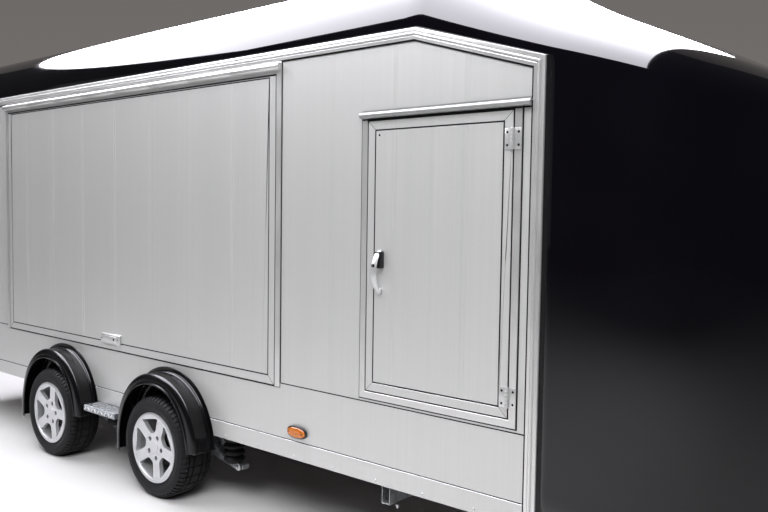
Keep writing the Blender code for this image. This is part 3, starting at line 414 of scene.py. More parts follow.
def rearCapPoint(u, v):
    # the shell's rear end: a rounded edge, then a flat face down to the ramp's header
    share = shellForm["capShare"]
    y = -wallY * math.cos(math.pi * u)
    edge = Vector((y, trimTop + roofHeight(wallY - abs(y))))
    turn = min(1.0, v / share) * math.pi / 2
    inward = shellForm["capRadius"] * (1 - math.cos(turn))
    middle = Vector((0.0, trimTop + shellForm["capMiddle"]))
    line = middle - edge
    step = line.normalized() * min(inward, line.length)
    spot = (edge + step).lerp(middle, max(0.0, (v - share) / (1 - share)))
    return Vector((rearX - shellForm["capRadius"] * math.sin(turn), spot.x, spot.y))


def noseWallPoint(u, v):
    # from the shell's edge down to its foot, round the nose only
    edge, _ = shellRow(noseStart + (1 - 2 * noseStart) * u)
    top = edgeHeight(edge[0])
    return Vector((edge[0], edge[1], shellForm["noseFoot"] + (top - shellForm["noseFoot"]) * v))


shape = bmesh.new()
sheetOf(shape, 300, 40, shellPoint)
sheetOf(shape, 120, 12, noseWallPoint)
sheetOf(shape, 60, 14, rearCapPoint)
bmesh.ops.remove_doubles(shape, verts=shape.verts, dist=0.0004)
bmesh.ops.recalc_face_normals(shape, faces=shape.faces)
highest = max(shape.faces, key=lambda f: f.calc_center_median().z)
if highest.normal.z < 0:
    bmesh.ops.reverse_faces(shape, faces=shape.faces)
moulding = makePiece("mouldedShell", shape, gelcoat, shell, ("roof_shell", "nose_shell"), 50,
                     settle=False)
thicken(moulding, shellForm["wall"])
moulding.data.materials.append(flowCoat)
moulding.modifiers["thickness"].material_offset = 1
print("shell made")


# planked sides, sills and doors

past = 0.01  # how far a cutter reaches past what it cuts
plank = {"pitch": 0.337, "first": 1.300, "tongue": 0.018, "groove": 0.0012, "line": 0.0062, "lineDeep": 0.004}
entry = {"rear": 0.827, "front": 1.497, "foot": 0.758, "head": 1.858, "stile": 0.037, "firstJoint": 1.300}
access = {"rear": -2.279, "front": 0.272, "foot": 0.695, "head": 2.096, "stile": 0.040, "firstJoint": -0.023,
          "topRail": 0.005}
sill = {"grooveFoot": 0.4550, "grooveHead": 0.4590, "grooveDeep": 0.004}


def seams(cutter, xs, side, proud, zLow, zHigh):
    # the two fine lines of each tongue-and-groove joint
    y = side * (wallY + proud)
    for x in xs:
        for shift in (-plank["tongue"] / 2, plank["tongue"] / 2):
            bar(cutter, (x + shift, y, zLow), (x + shift, y, zHigh), plank["groove"], 4)


def outlineBars(shape, low, high, y0, y1, wide):
    # four bars round a rectangle of (x, z)
    a, b = min(y0, y1), max(y0, y1)
    half = wide / 2
    for z in (low[1], high[1]):
        block(shape, (low[0] - half, a, z - half), (high[0] + half, b, z + half))
    for x in (low[0], high[0]):
        block(shape, (x - half, a, low[1] + half), (x + half, b, high[1] - half))


def joints(start, low, high, pitch):
    # joint places from the first one back, none near either end
    found = []
    x = start
    while x > low + 0.03:
        if x < high - 0.02:
            found.append(x)
        x -= pitch
    return found


for node, side in (("rear_wall_right", -1), ("front_wall_right", -1), ("side_wall_left", 1)):
    low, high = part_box(node)
    cutter = bmesh.new()
    xs = joints(plank["first"], low.x, high.x, plank["pitch"])
    seams(cutter, xs, side, 0.0, low.z - past, high.z + past)
    refine(node, plankMetal, 0.0008, cutter, 1)

for node, side in (("side_sill_right", -1), ("side_sill_left", 1)):
    low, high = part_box(node)
    cutter = bmesh.new()
    y0, y1 = sorted((side * (wallY - sill["grooveDeep"]), side * (wallY + past)))
    block(cutter, (low.x - past, y0, sill["grooveFoot"]), (high.x + past, y1, sill["grooveHead"]))
    refine(node, plankMetal, 0.0012, cutter, 1)


def doorSkin(node, form, body):
    # a leaf with its stiles, its plank joints and the black beading round its panel
    low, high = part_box(node)
    face = low.y
    deep = plank["lineDeep"]
    topRail = form.get("topRail", form["stile"])
    panelLow = (low.x + form["stile"], low.z + form["stile"])
    panelHigh = (high.x - form["stile"], high.z - topRail)
    cutter = bmesh.new()
    outlineBars(cutter, panelLow, panelHigh, face - past, face + deep, plank["line"])
    xs = joints(form["firstJoint"], panelLow[0], panelHigh[0], plank["pitch"] - 0.001)
    seams(cutter, xs, -1, -face - wallY, panelLow[1] + 0.004, panelHigh[1] - 0.004)
    refine(node, plankMetal, 0.0010, cutter, 1)
    bead = bmesh.new()
    outlineBars(bead, panelLow, panelHigh, face + 0.0006, face + deep + 0.001, plank["line"] + 0.0004)
    mitreEnds = [(low.z, panelLow[1])] if form is access else [(low.z, panelLow[1]), (high.z, panelHigh[1])]
    for x0, x1 in ((low.x, panelLow[0]), (high.x, panelHigh[0])):
        for z0, z1 in mitreEnds:
            bar(bead, (x0, face - 0.0001, z0), (x1, face - 0.0001, z1), 0.0007, 6)
    makePiece(node + "_beading", bead, sealRubberAndPaintedShade, body)
    return panelLow, panelHigh, face


entryPanel = doorSkin("entry_door", entry, "entry_door_leaf")
doorSkin("side_access_door", access, "side_door_leaf")
for node in ("side_door_frame", "entry_door_frame"):
    refine(node, sectionMetal, 0.0020, steps=3)

# black strips in the gaps round both leaves, along the frames, along the sills and under the large door: rubber
# lips, and painted shade of the gaps
sealAndShadeForm = {"wide": 0.0070, "deep": 0.012, "gap": 0.003, "proud": 0.0035, "frameOut": 0.0375,
            "frameWide": 0.0046, "frameProud": 0.0022, "accessFoot": 0.7090, "accessHead": 2.1580,
            "trimClear": 0.047}


def sealAndShadeRing(shape, form, out, proud, wide):
    face = -wallY - proud
    low, high = (form["rear"] - out, form["foot"] - out), (form["front"] + out, form["head"] + out)
    outlineBars(shape, low, high, face, face + sealAndShadeForm["deep"], wide)


shape = bmesh.new()
for form in (entry, access):
    sealAndShadeRing(shape, form, sealAndShadeForm["gap"], sealAndShadeForm["proud"], sealAndShadeForm["wide"])
sealAndShadeRing(shape, entry, sealAndShadeForm["frameOut"], sealAndShadeForm["frameProud"], sealAndShadeForm["frameWide"])
for x in (access["rear"] - 0.0390, access["front"] + 0.0385):
    block(shape, (x - 0.0026, -wallY - sealAndShadeForm["frameProud"], sealAndShadeForm["accessFoot"]),
          (x + 0.0026, -wallY + past, sealAndShadeForm["accessHead"]))
bodyLine = (bodyRear + 0.052, frontX - sealAndShadeForm["trimClear"])
for side in (-1, 1):
    y0, y1 = sorted((side * (wallY - 0.0010), side * (wallY - sill["grooveDeep"])))
    block(shape, (bodyLine[0], y0, sill["grooveFoot"] - 0.0002),
          (bodyLine[1], y1, sill["grooveHead"] + 0.0002))
    y0, y1 = sorted((side * (wallY + 0.0008), side * (wallY - past)))
    doorLine = ((bodyLine[0], access["rear"] - 0.040), (access["front"] + 0.040, bodyLine[1]))
    for x0, x1 in doorLine if side < 0 else (bodyLine,):
        block(shape, (x0, y0, sillTop - 0.0018), (x1, y1, sillTop + 0.0026))
block(shape, (access["rear"] - 0.037, -wallY - 0.0030, 0.6868),
      (access["front"] + 0.037, -wallY + past, 0.6912))
makePiece("doorSeals", shape, sealRubberAndPaintedShade)
print("sides planked")


# drawn sections along a line

def sweep(shape, profile, stations):
    # the profile is a closed run of (across, out), and a station turns one of its points into a place
    run = list(profile) + [profile[0]]
    across, along = len(run) - 1, len(stations) - 1
    made = bmesh.ops.create_grid(shape, x_segments=across, y_segments=along, size=0.5)["verts"]
    for v in made:
        i, j = round((v.co.x + 0.5) * across), round((v.co.y + 0.5) * along)
        v.co = stations[j](*run[i])
    bmesh.ops.remove_doubles(shape, verts=made, dist=weld)
    bmesh.ops.holes_fill(shape, edges=[e for e in shape.edges if e.is_boundary], sides=0)


def mitred(points, side):
    # stations along an (x, z) line, with across measured inward and mitred at each turn
    stations = []
    for i, (x, z) in enumerate(points):
        before = Vector(points[i]) - Vector(points[i - 1]) if i else Vector(points[1]) - Vector(points[0])
        after = Vector(points[i + 1]) - Vector(points[i]) if i + 1 < len(points) else before
        one, two = before.normalized(), after.normalized()
        inOne, inTwo = Vector((one.y, -one.x)), Vector((two.y, -two.x))
        slant = (inOne + inTwo).normalized()
        slant /= max(0.2, slant.dot(inOne))
        stations.append(lambda a, out, x=x, z=z, slant=slant:
                        Vector((x + slant.x * a, side * (wallY + out), z + slant.y * a)))
    return stations


trimForm = {"rear": bodyRear + 0.0505, "corner": shellForm["slopeFall"],
            "section": ((0.0, -0.018), (0.0, 0.006), (0.0015, 0.0085), (0.003, 0.009), (0.0125, 0.0094),
                        (0.0140, 0.0085), (0.0150, 0.0068), (0.0165, 0.0068), (0.0172, 0.0095),
                        (0.0190, 0.0122), (0.0215, 0.0135), (0.0240, 0.0135), (0.0265, 0.0122),
                        (0.0283, 0.0095), (0.0290, 0.0068), (0.0305, 0.0068), (0.0315, 0.0085),
                        (0.0330, 0.0092), (0.0430, 0.0086), (0.0445, 0.0072), (0.0452, 0.0040),
                        (0.0452, -0.018)),
            "seal": ((0.0445, -0.016), (0.0445, 0.0032), (0.0518, 0.0032), (0.0518, -0.016))}
trimLine = [(trimForm["rear"], trimTop), (peakX, trimTop), (frontX, trimTop - trimForm["corner"]),
            (frontX, railFoot)]
for side, word in ((-1, "right"), (1, "left")):
    shape = bmesh.new()
    sweep(shape, trimForm["section"], mitred(trimLine, side))
    makePiece("edge_trim_" + word + "_section", shape, sectionMetal, shell,
              ("edge_trim_" + word,), 28)
    # a black strip along the trim's inner edge: its sealant, and painted shade where the proud trim meets the
    # planks
    shape = bmesh.new()
    sweep(shape, trimForm["seal"], mitred(trimLine, side))
    makePiece("edge_trim_seal_" + word, shape, sealRubberAndPaintedShade)


# gutter over the entry door

gutter = {"radius": 0.012, "start": 0.027, "wall": 0.72, "from": -80, "sweep": 220, "steps": 12}
low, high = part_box("rain_gutter")
middle = ((low.y + high.y) / 2, (low.z + high.z) / 2)
profile = []
for i in range(gutter["steps"] + 1):
    turn = math.radians(gutter["from"] + gutter["sweep"] * i / gutter["steps"])
    profile.append((gutter["radius"] * math.cos(turn), gutter["radius"] * math.sin(turn)))
profile += [(a * gutter["wall"], b * gutter["wall"]) for a, b in reversed(profile)]
start, end = low.x + gutter["start"], high.x - 0.002
shape = bmesh.new()
stations = [lambda a, b, x=x: Vector((x, middle[0] - a, middle[1] + b)) for x in (start, high.x + 0.004)]
sweep(shape, profile, stations)
block(shape, (start, -wallY - 0.0085, high.z - 0.003), (end, -wallY - 0.0063, high.z + 0.008))
makePiece("rain_gutter_section", shape, millMetal, shell, ("rain_gutter",))
# a black strip just under the gutter: painted shadow beneath it
shape = bmesh.new()
block(shape, (start, -wallY - 0.0088, low.z - 0.0065), (end, -wallY - 0.0063, low.z - 0.0005))
makePiece("rain_gutter_seal", shape, sealRubberAndPaintedShade)

# entry door's hinges: a fixed leaf with the barrel, a leaf on the door, and their screws
hinge = {"pinOut": 0.015, "barrel": 0.0075, "knuckles": 5, "pin": 0.0045, "back": -wallY - 0.0064,
         "face": -wallY - 0.0115, "screwIn": 0.014, "gap": 0.0004}
pin = (entry["front"] + 0.003, -wallY - hinge["pinOut"])
for word in ("upper", "lower"):
    node = "entry_hinge_" + word
    low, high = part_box(node)
    shape = bmesh.new()
    block(shape, (pin[0] + 0.004, hinge["face"], low.z), (high.x, hinge["back"], high.z), 0.0012)
    step = (high.z - low.z) / hinge["knuckles"]
    for i in range(hinge["knuckles"]):
        bar(shape, (*pin, low.z + i * step + hinge["gap"]), (*pin, low.z + (i + 1) * step - hinge["gap"]),
            hinge["barrel"], 24, edge=0.0006)
    bar(shape, (*pin, low.z - 0.003), (*pin, high.z + 0.003), hinge["pin"], 16, edge=0.0008)
    makePiece(node + "_leaf", shape, satinCast, shell, (node,))
    shape = bmesh.new()
    block(shape, (pin[0] - 0.034, hinge["face"], low.z), (pin[0] - 0.009, hinge["back"], high.z), 0.0012)
    makePiece(node + "_plate", shape, satinCast, "entry_door_leaf")
    for name, x, body in (("fixed", high.x - 0.011, shell), ("leaf", pin[0] - 0.023, "entry_door_leaf")):
        shape = bmesh.new()
        places = [(x, hinge["face"], z) for z in (low.z + hinge["screwIn"], high.z - hinge["screwIn"])]
        screws(shape, places, (0, -1, 0), 0.0048)
        makePiece(node + "_screws_" + name, shape, darkIronAndRecessShade, body)

# bow handle with its lock
handle = {"x": entry["rear"] + 0.079, "foot": 1.162, "head": 1.340, "wide": 0.030, "thick": 0.006,
          "bow": 0.036, "standOff": 0.010, "steps": 28, "caseFoot": 1.266, "caseHead": 1.334, "key": 1.278}
face = -wallY - 0.006


def bowStation(share):
    bulge = math.sin(math.pi * share)
    out = handle["bow"] * bulge ** 0.75
    z = handle["foot"] + 0.004 + (handle["head"] - handle["foot"] - 0.008) * share
    narrow = 0.70 + 0.30 * bulge
    return lambda a, b: Vector((handle["x"] - 0.006 + a * narrow, face - handle["standOff"] - out - b, z))


shape = bmesh.new()
half, thick = handle["wide"] / 2, handle["thick"]
band = [(-half, 0.0), (-half, thick * 0.5), (-half * 0.7, thick * 0.9), (0.0, thick * 1.15),
        (half * 0.7, thick * 0.9), (half, thick * 0.5), (half, 0.0), (half * 0.7, -thick * 0.25),
        (-half * 0.7, -thick * 0.25)]
sweep(shape, band, [bowStation(i / handle["steps"]) for i in range(handle["steps"] + 1)])
for z in (handle["foot"], handle["head"] - 0.022):
    block(shape, (handle["x"] - 0.017, face - 0.015, z),
          (handle["x"] + 0.005, face - 0.0003, z + 0.022), 0.003)
makePiece("door_handle_bow", shape, satinCast, "entry_door_leaf", ("door_handle",))
shape = bmesh.new()
block(shape, (handle["x"] - 0.019, face - 0.026, handle["caseFoot"]),
      (handle["x"] + 0.012, face - 0.0003, handle["caseHead"]), 0.004, 3)
makePiece("door_lock_case", shape, housingPlastic, "entry_door_leaf")
keyX, keyY, keyZ = handle["x"] - 0.006, face - 0.0475, handle["key"]
shape = bmesh.new()
bar(shape, (keyX, keyY + 0.012, keyZ), (keyX, keyY - 0.0035, keyZ), 0.0072, 24, edge=0.001)
makePiece("door_lock_barrel", shape, darkIronAndRecessShade, "entry_door_leaf")
shape = bmesh.new()
block(shape, (keyX - 0.0008, keyY - 0.0042, keyZ - 0.004), (keyX + 0.0008, keyY - 0.0030, keyZ + 0.004))
makePiece("door_lock_slot", shape, zincPlate, "entry_door_leaf")

# the large door's rolled hinge, latch and small screws
roll = {"z": 2.133, "y": -wallY - 0.0165, "radius": 0.0135, "knuckles": 8, "gap": 0.0006}
low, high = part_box("side_door_frame")
shape = bmesh.new()
step = (high.x - low.x) / roll["knuckles"]
for i in range(roll["knuckles"]):
    bar(shape, (low.x + i * step + roll["gap"], roll["y"], roll["z"]),
        (low.x + (i + 1) * step - roll["gap"], roll["y"], roll["z"]), roll["radius"], 32, edge=0.001)
makePiece("side_door_hinge_roll", shape, sectionMetal, shell)
# two black strips, at the top of the rolled hinge and just below it: painted shadow
shape = bmesh.new()
block(shape, (low.x + 0.002, -wallY - 0.0075, 2.1445), (high.x - 0.002, -wallY - 0.005, 2.1485))
block(shape, (low.x + 0.032, -wallY - 0.0075, 2.0985), (high.x - 0.032, -wallY - 0.004, 2.1040))
makePiece("side_door_hinge_shadow", shape, sealRubberAndPaintedShade)

low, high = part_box("side_door_latch")
middle = (low + high) / 2
shape = bmesh.new()
block(shape, low, high, 0.009, 4)
makePiece("side_door_latch_case", shape, satinCast, "side_door_leaf",
          ("side_door_latch",))
shape = bmesh.new()
block(shape, (low.x + 0.030, low.y - 0.003, low.z + 0.012),
      (high.x - 0.030, low.y + 0.004, high.z - 0.012), 0.003, 3)
makePiece("side_door_latch_paddle", shape, sectionMetal, "side_door_leaf")
shape = bmesh.new()
buttonX = middle.x + 0.045
bar(shape, (buttonX, low.y - 0.0035, middle.z), (buttonX, low.y - 0.0005, middle.z), 0.007, 20)
screws(shape, [(x, low.y, middle.z) for x in (low.x + 0.015, high.x - 0.015)], (0, -1, 0), 0.004)
makePiece("side_door_latch_fixings", shape, darkIronAndRecessShade, "side_door_leaf")
shape = bmesh.new()
panelLow, panelHigh, panelFace = entryPanel
screws(shape, [(panelLow[0] + 0.020, panelFace, panelHigh[1] - 0.020)], (0, -1, 0), 0.0045)
makePiece("entry_panel_screw", shape, darkIronAndRecessShade, "entry_door_leaf")

axles = {"front": -0.522, "rear": -1.582}
rail = {"screwZ": 0.388, "pitch": 0.24, "clear": 0.40}
shape = bmesh.new()
for side in (-1, 1):
    x = bodyRear + 0.12
    while x < frontX - 0.06:
        if min(abs(x - place) for place in axles.values()) > rail["clear"]:
            screws(shape, [(x, side * wallY, rail["screwZ"])], (0, side, 0), 0.005)
        x += rail["pitch"]
makePiece("rail_screws", shape, zincPlate)
print("doors fitted")


# wheels

ends = [(word, x, side, hand) for word, x in axles.items() for side, hand in ((-1, "right"), (1, "left"))]
wheel = {"radius": 0.2625, "half": 0.0975, "out": 0.116, "blocks": 60, "spokes": 5, "studCircle": 0.056,
         "turn": {"front": 25, "rear": 15}}
tread = {"shoulder": 0.2445, "shoulderIn": 0.0395, "centre": 0.2615, "centreIn": 0.048, "deep": 0.0042}
window = {"inner": 0.0760, "outer": 0.1470, "innerHalf": 0.0215, "outerHalf": 0.0690, "corner": 0.013,
          "bendFrom": 0.120, "studHole": 0.0125}


def tyreShape():
    h = wheel["half"]
    outer = [(0.168, h - 0.022), (0.1760, h - 0.0150), (0.1840, h - 0.0128), (0.1865, h - 0.0105),
             (0.1890, h - 0.0098), (0.2000, h - 0.0035), (0.2120, h - 0.0005), (0.2150, h),
             (0.2165, h + 0.0006), (0.2180, h), (0.2260, h - 0.0008), (0.2360, h - 0.0030),
             (0.2440, h - 0.0065), (0.2500, h - 0.0110), (0.2560, h - 0.0180), (0.2600, h - 0.0255),
             (0.2615, h - 0.0310), (0.2617, h - 0.0400), (0.2550, h - 0.0410), (0.2550, h - 0.0460),
             (0.2620, h - 0.0470), (0.2624, h - 0.0680), (0.2555, h - 0.0690), (0.2555, h - 0.0750),
             (0.2625, h - 0.0760), (0.2625, 0.0)]
    shape = bmesh.new()
    run = outer + [(a, -b) for a, b in reversed(outer[:-1])]
    steps = wheel["blocks"] * 3
    lathe(shape, run + [(0.162, -(h - 0.022)), (0.162, h - 0.022)], (0, 0, 0), (0, 1, 0), steps)
    bmesh.ops.remove_doubles(shape, verts=shape.verts, dist=weld)
    bmesh.ops.recalc_face_normals(shape, faces=shape.faces)
    cuts = []
    for f in shape.faces:
        c = f.calc_center_median()
        radius = math.hypot(c.x, c.z)
        step = int((math.atan2(c.z, c.x) / math.tau + 1) * steps + 0.001)
        shoulder = radius > tread["shoulder"] and abs(c.y) > h - tread["shoulderIn"]
        centre = radius > tread["centre"] and abs(c.y) < h - tread["centreIn"] and step % 6 == 0
        if (shoulder and step % 3 == 0) or centre:
            cuts.append(f)
    pushed = bmesh.ops.extrude_face_region(shape, geom=cuts)["geom"]
    for v in [g for g in pushed if isinstance(g, bmesh.types.BMVert)]:
        inward = Vector((v.co.x, 0, v.co.z)).normalized()
        v.co -= inward * tread["deep"] + Vector((0, math.copysign(0.0012, v.co.y), 0))
    bmesh.ops.delete(shape, geom=cuts, context="FACES_ONLY")
    return shape


def windowCutters():
    # five rounded windows between the spokes, and five stud recesses
    cutter = bmesh.new()
    for i in range(wheel["spokes"]):
        pitch = 360 / wheel["spokes"]
        made = bmesh.ops.create_cube(cutter, size=1.0)["verts"]
        for v in made:
            far = v.co.z > 0
            half = window["outerHalf"] if far else window["innerHalf"]
            reach = window["outer"] if far else window["inner"]
            v.co = Vector((math.copysign(half, v.co.x), v.co.y * 0.12 + 0.04, reach))
        sides = [e for e in edgesOf(made) if abs(e.verts[0].co.y - e.verts[1].co.y) > 0.05]
        bevelled = bmesh.ops.bevel(cutter, geom=sides, offset=window["corner"], segments=5, profile=0.5,
                                   affect="EDGES", material=-1, clamp_overlap=True)
        whole = list(dict.fromkeys(v for f in bevelled["faces"] for v in f.verts))
        for _ in range(3):
            whole = list(dict.fromkeys(whole + [e.other_vert(v) for v in whole for e in v.link_edges]))
        for v in whole:
            if v.co.z > window["bendFrom"]:
                bend = window["outer"] - math.hypot(v.co.x, 0.135)
                v.co.z += bend * 0.9 * (v.co.z - window["bendFrom"]) / (window["outer"] - window["bendFrom"])
        turn = Matrix.Rotation(math.radians(pitch / 2 + pitch * i), 4, "Y")
        bmesh.ops.transform(cutter, matrix=turn, verts=whole)
        stud = Matrix.Rotation(math.radians(pitch * i), 3, "Y") @ Vector((0, 0, wheel["studCircle"]))
        bar(cutter, stud + Vector((0, 0.0640, 0)), stud + Vector((0, 0.0960, 0)), window["studHole"], 20)
    return cutter


def turned(profile, steps):
    # a shape turned about the wheel's own axle
    shape = bmesh.new()
    lathe(shape, profile, (0, 0, 0), (0, 1, 0), steps)
    return shape


def template(shape):
    bmesh.ops.remove_doubles(shape, verts=shape.verts, dist=weld)
    bmesh.ops.recalc_face_normals(shape, faces=shape.faces)
    mesh = bpy.data.meshes.new("template")
    shape.to_mesh(mesh)
    shape.free()
    made = bpy.data.objects.new("template", mesh)
    bpy.context.scene.collection.objects.link(made)
    return made


def wheelFrom(base, end, name, material, replaced=()):
    # a copy of a template, set on its hub and turned
    word, x, side, hand = end
    shape = bmesh.new()
    shape.from_mesh(base.data)
    spin = Matrix.Rotation(math.radians(wheel["turn"][word]), 4, "Y")
    flip = Matrix.Rotation(math.pi, 4, "Z") if side < 0 else Matrix.Identity(4)
    centre = Matrix.Translation((x, side * (wallY + wheel["out"] - wheel["half"]), wheel["radius"]))
    bmesh.ops.transform(shape, matrix=centre @ spin @ flip, verts=shape.verts)
    return makePiece(name, shape, material, "wheel_" + word + "_" + hand, replaced, settle=False)


lip = wheel["half"] - 0.0125
bead = wheel["half"] - 0.021
tyreBase = template(tyreShape())
barrel = [(0.158, lip + 0.004), (0.1600, lip + 0.0075), (0.1650, lip + 0.0090), (0.1760, lip + 0.0082),
          (0.1815, lip + 0.0062), (0.1825, lip + 0.0030), (0.1815, lip), (0.1760, lip - 0.0010), (0.1676, bead),
          (0.1676, -bead), (0.1590, -bead), (0.1560, 0.0), (0.1560, lip - 0.020)]
disc = [(0.0, 0.0600), (0.0, 0.0790), (0.028, 0.0790), (0.062, 0.0800), (0.072, 0.0812), (0.095, 0.0835),
        (0.130, 0.0865), (0.150, 0.0890), (0.1600, 0.0915), (0.1600, 0.0600), (0.130, 0.0640), (0.072, 0.0620)]
cap = [(0.0, 0.0780), (0.0, 0.0812), (0.018, 0.0810), (0.0265, 0.0802), (0.0280, 0.0780)]
drum = [(0.0, -0.032), (0.0, 0.020), (0.098, 0.020), (0.104, 0.014), (0.105, -0.032)]
barrelBase, discBase = template(turned(barrel, 96)), template(turned(disc, 96))
carve(discBase, windowCutters())
capBase, drumBase = template(turned(cap, 48)), template(turned(drum, 64))
# the wheel nuts, set low in their recesses in the dark iron finish: painted shade of the recesses
shape = bmesh.new()
for i in range(wheel["spokes"]):
    spot = Matrix.Rotation(math.radians(72 * i), 3, "Y") @ Vector((0, 0, wheel["studCircle"]))
    bar(shape, spot + Vector((0, 0.0610, 0)), spot + Vector((0, 0.0680, 0)), 0.0090, 6, edge=0.0008)
studShadeBase = template(shape)
shape = bmesh.new()
spot = Matrix.Rotation(math.radians(36), 3, "Y") @ Vector((0, 0, 0.150))
bar(shape, spot + Vector((0, 0.050, 0)), spot + Vector((0, 0.082, 0)), 0.0035, 12, edge=0.0006)
valveBase = template(shape)
for end in ends:
    name = end[0] + "_" + end[3]
    wheelFrom(tyreBase, end, "tyre_" + name + "_tread", tyreRubber, ("tyre_" + name,))
    rim = "rim_" + name
    wheelFrom(barrelBase, end, rim + "_barrel", wheelLacquer, (rim,))
    soften(wheelFrom(discBase, end, rim + "_spokes", wheelLacquer), 0.0022, 3)
    wheelFrom(capBase, end, rim + "_cap", wheelLacquer)
    wheelFrom(studShadeBase, end, rim + "_studs", darkIronAndRecessShade)
    wheelFrom(drumBase, end, rim + "_drum", darkIronAndRecessShade)
    wheelFrom(valveBase, end, rim + "_valve", sealRubberAndPaintedShade)
for base in (tyreBase, barrelBase, discBase, capBase, studShadeBase, drumBase, valveBase):
    bpy.data.objects.remove(base)
print("wheels made")


# mudguards, and black liners inside the wheel openings, with a black plate behind each wheel's top: liners, and
# painted shade in the well

guard = {"half": 0.344, "top": 0.640, "centre": 0.250, "power": 2.15, "foot": 0.298, "flapTop": 0.245,
         "flap": 0.190, "steps": 56,
         "section": ((0.0010, 0.0262), (0.0042, 0.0262), (0.0056, 0.0246), (0.0056, 0.0060),
                     (0.0068, 0.0024), (0.0100, 0.0006), (0.0140, 0.0004), (0.0162, 0.0022),
                     (0.0190, 0.0034), (0.0218, 0.0022), (0.0240, 0.0002), (0.0600, 0.0004),
                     (0.0850, 0.0004), (0.0895, 0.0022), (0.0935, 0.0036), (0.0975, 0.0028),
                     (0.1015, 0.0000), (0.1060, -0.0045), (0.1100, -0.0105), (0.1130, -0.0180),
                     (0.1146, -0.0280), (0.1152, -0.0380), (0.1170, -0.0408), (0.1198, -0.0430),
                     (0.1214, -0.0460), (0.1206, -0.0490), (0.1178, -0.0500), (0.1145, -0.0480),
                     (0.1112, -0.0400), (0.1096, -0.0180), (0.1060, -0.0105), (0.1010, -0.0065),
                     (0.0960, -0.0052), (0.0080, -0.0052), (0.0010, -0.0052))}
well = {"half": 0.2985, "top": 0.5945, "inner": 0.929, "from": 0.12, "flange": 0.008, "wall": 0.0015,
        "shadePlateWide": 0.56, "shadePlateTall": 0.165, "shadePlateMiddle": 0.497}


def archSpot(x, half, top, turn):
    # a point on a squarish arch over a wheel, at a turn from its front foot to its rear one
    bow = 2 / guard["power"]
    along = math.copysign(abs(math.cos(turn)) ** bow, math.cos(turn))
    return x + half * along, guard["centre"] + (top - guard["centre"]) * math.sin(turn) ** bow


def guardLine(x):
    # outline points from the front foot over the top to the rear flap
    turns = [math.pi * i / guard["steps"] for i in range(guard["steps"] + 1)]
    spots = [archSpot(x, guard["half"], guard["top"], turn) for turn in turns]
    arch = [spot for spot in spots if spot[1] > guard["foot"] + 0.004]
    rear = [(x - guard["half"], z) for z in (guard["foot"], guard["flapTop"], guard["flap"])]
    return [(x + guard["half"], guard["foot"])] + arch + rear


def guardStations(x, side):
    line = guardLine(x)
    stations = []
    for i, (px, pz) in enumerate(line):
        ahead, behind = line[min(i + 1, len(line) - 1)], line[max(i - 1, 0)]
        way = Vector((ahead[0] - behind[0], ahead[1] - behind[1])).normalized()
        out = Vector((-way.y, way.x))
        if out.dot(Vector((px - x, pz - 0.3))) < 0:
            out = -out
        most = 0.004 if pz < guard["foot"] - 0.01 else 1.0  # the flap has no ribs
        stations.append(lambda across, rise, px=px, pz=pz, out=out, most=most:
                        Vector((px + out.x * min(rise, most), side * (wallY + across), pz + out.y * rise)))
    return stations


def linerPoint(x, side, u, v):
    spot = archSpot(x, well["half"], well["top"], math.pi * (well["from"] + (1 - 2 * well["from"]) * u))
    return Vector((spot[0], side * (well["inner"] + (wallY - 0.001 - well["inner"]) * v), spot[1]))


def flangePoint(x, side, u, v):
    # on the sill, between the opening and the guard
    half = well["half"] + (guard["half"] - well["flange"] - well["half"]) * v
    top = well["top"] + (guard["top"] - well["flange"] - well["top"]) * v
    spot = archSpot(x, half, top, math.pi * (well["from"] + (1 - 2 * well["from"]) * u))
    return Vector((spot[0], side * (wallY + 0.0012), spot[1]))


for word, x, side, hand in ends:
    shape = bmesh.new()
    sweep(shape, guard["section"], guardStations(x, side))
    name = "mudguard_" + word + "_" + hand
    start, end = (Vector((x + guard["half"] - 0.0020, side * (wallY + out), guard["foot"] - 0.001))
                  for out in (0.010, 0.112))
    bar(shape, start, end, 0.0048, 16, edge=0.001)
    makePiece(name + "_moulding", shape, guardPlasticAndWellShade, shell, (name,), 40)
for word, x, side, hand in ends:
    shape = bmesh.new()
    sheetOf(shape, 32, 1, lambda u, v: linerPoint(x, side, u, v))
    sheetOf(shape, 32, 1, lambda u, v: flangePoint(x, side, u, v))
    # a flat black plate behind the top of the wheel: painted shade in the well
    shadePlateY = side * (well["inner"] + 0.001)
    sheetOf(shape, 1, 1, lambda u, v: Vector((x + (u - 0.5) * well["shadePlateWide"], shadePlateY,
                                              well["shadePlateMiddle"] + (v - 0.5) * well["shadePlateTall"])))
    liner = makePiece("wheel_liner_" + word + "_" + hand, shape, guardPlasticAndWellShade)
    thicken(liner, well["wall"], 0.0)
print("mudguards made")


# fittings and running gear

marker = {"base": ((0.0605, 0.0070, 0.0280), (0.80, 0.35), 0.0070),
          "lens": ((0.0545, 0.0105, 0.0225), (0.85, 0.50), 0.0112), "screwOut": 0.0195, "screwApart": 0.041}
for side, word in ((-1, "right"), (1, "left")):
    low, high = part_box("side_marker_" + word)
    middle = (low + high) / 2
    for piece, material in (("base", housingPlastic), ("lens", amberAcrylicPaintedGlow)):
        half, power, out = marker[piece]
        shape = bmesh.new()
        for v in bmesh.ops.create_uvsphere(shape, u_segments=48, v_segments=24, radius=1.0)["verts"]:
            x, y, z = v.co
            v.co = Vector((middle.x + half[0] * math.copysign(abs(x) ** power[0], x),
                           side * (wallY + out) + half[1] * math.copysign(abs(y) ** power[1], y),
                           middle.z + half[2] * math.copysign(abs(z) ** power[0], z)))
        lens = piece == "lens"
        makePiece("side_marker_" + word + "_" + piece, shape, material, shell,
                  ("side_marker_" + word,) if lens else (), 60)
    shape = bmesh.new()
    places = [(middle.x + dx, side * (wallY + marker["screwOut"]), middle.z)
              for dx in (-marker["screwApart"], marker["screwApart"])]
    screws(shape, places, (0, side, 0), 0.004)
    makePiece("side_marker_" + word + "_screws", shape, darkIronAndRecessShade)

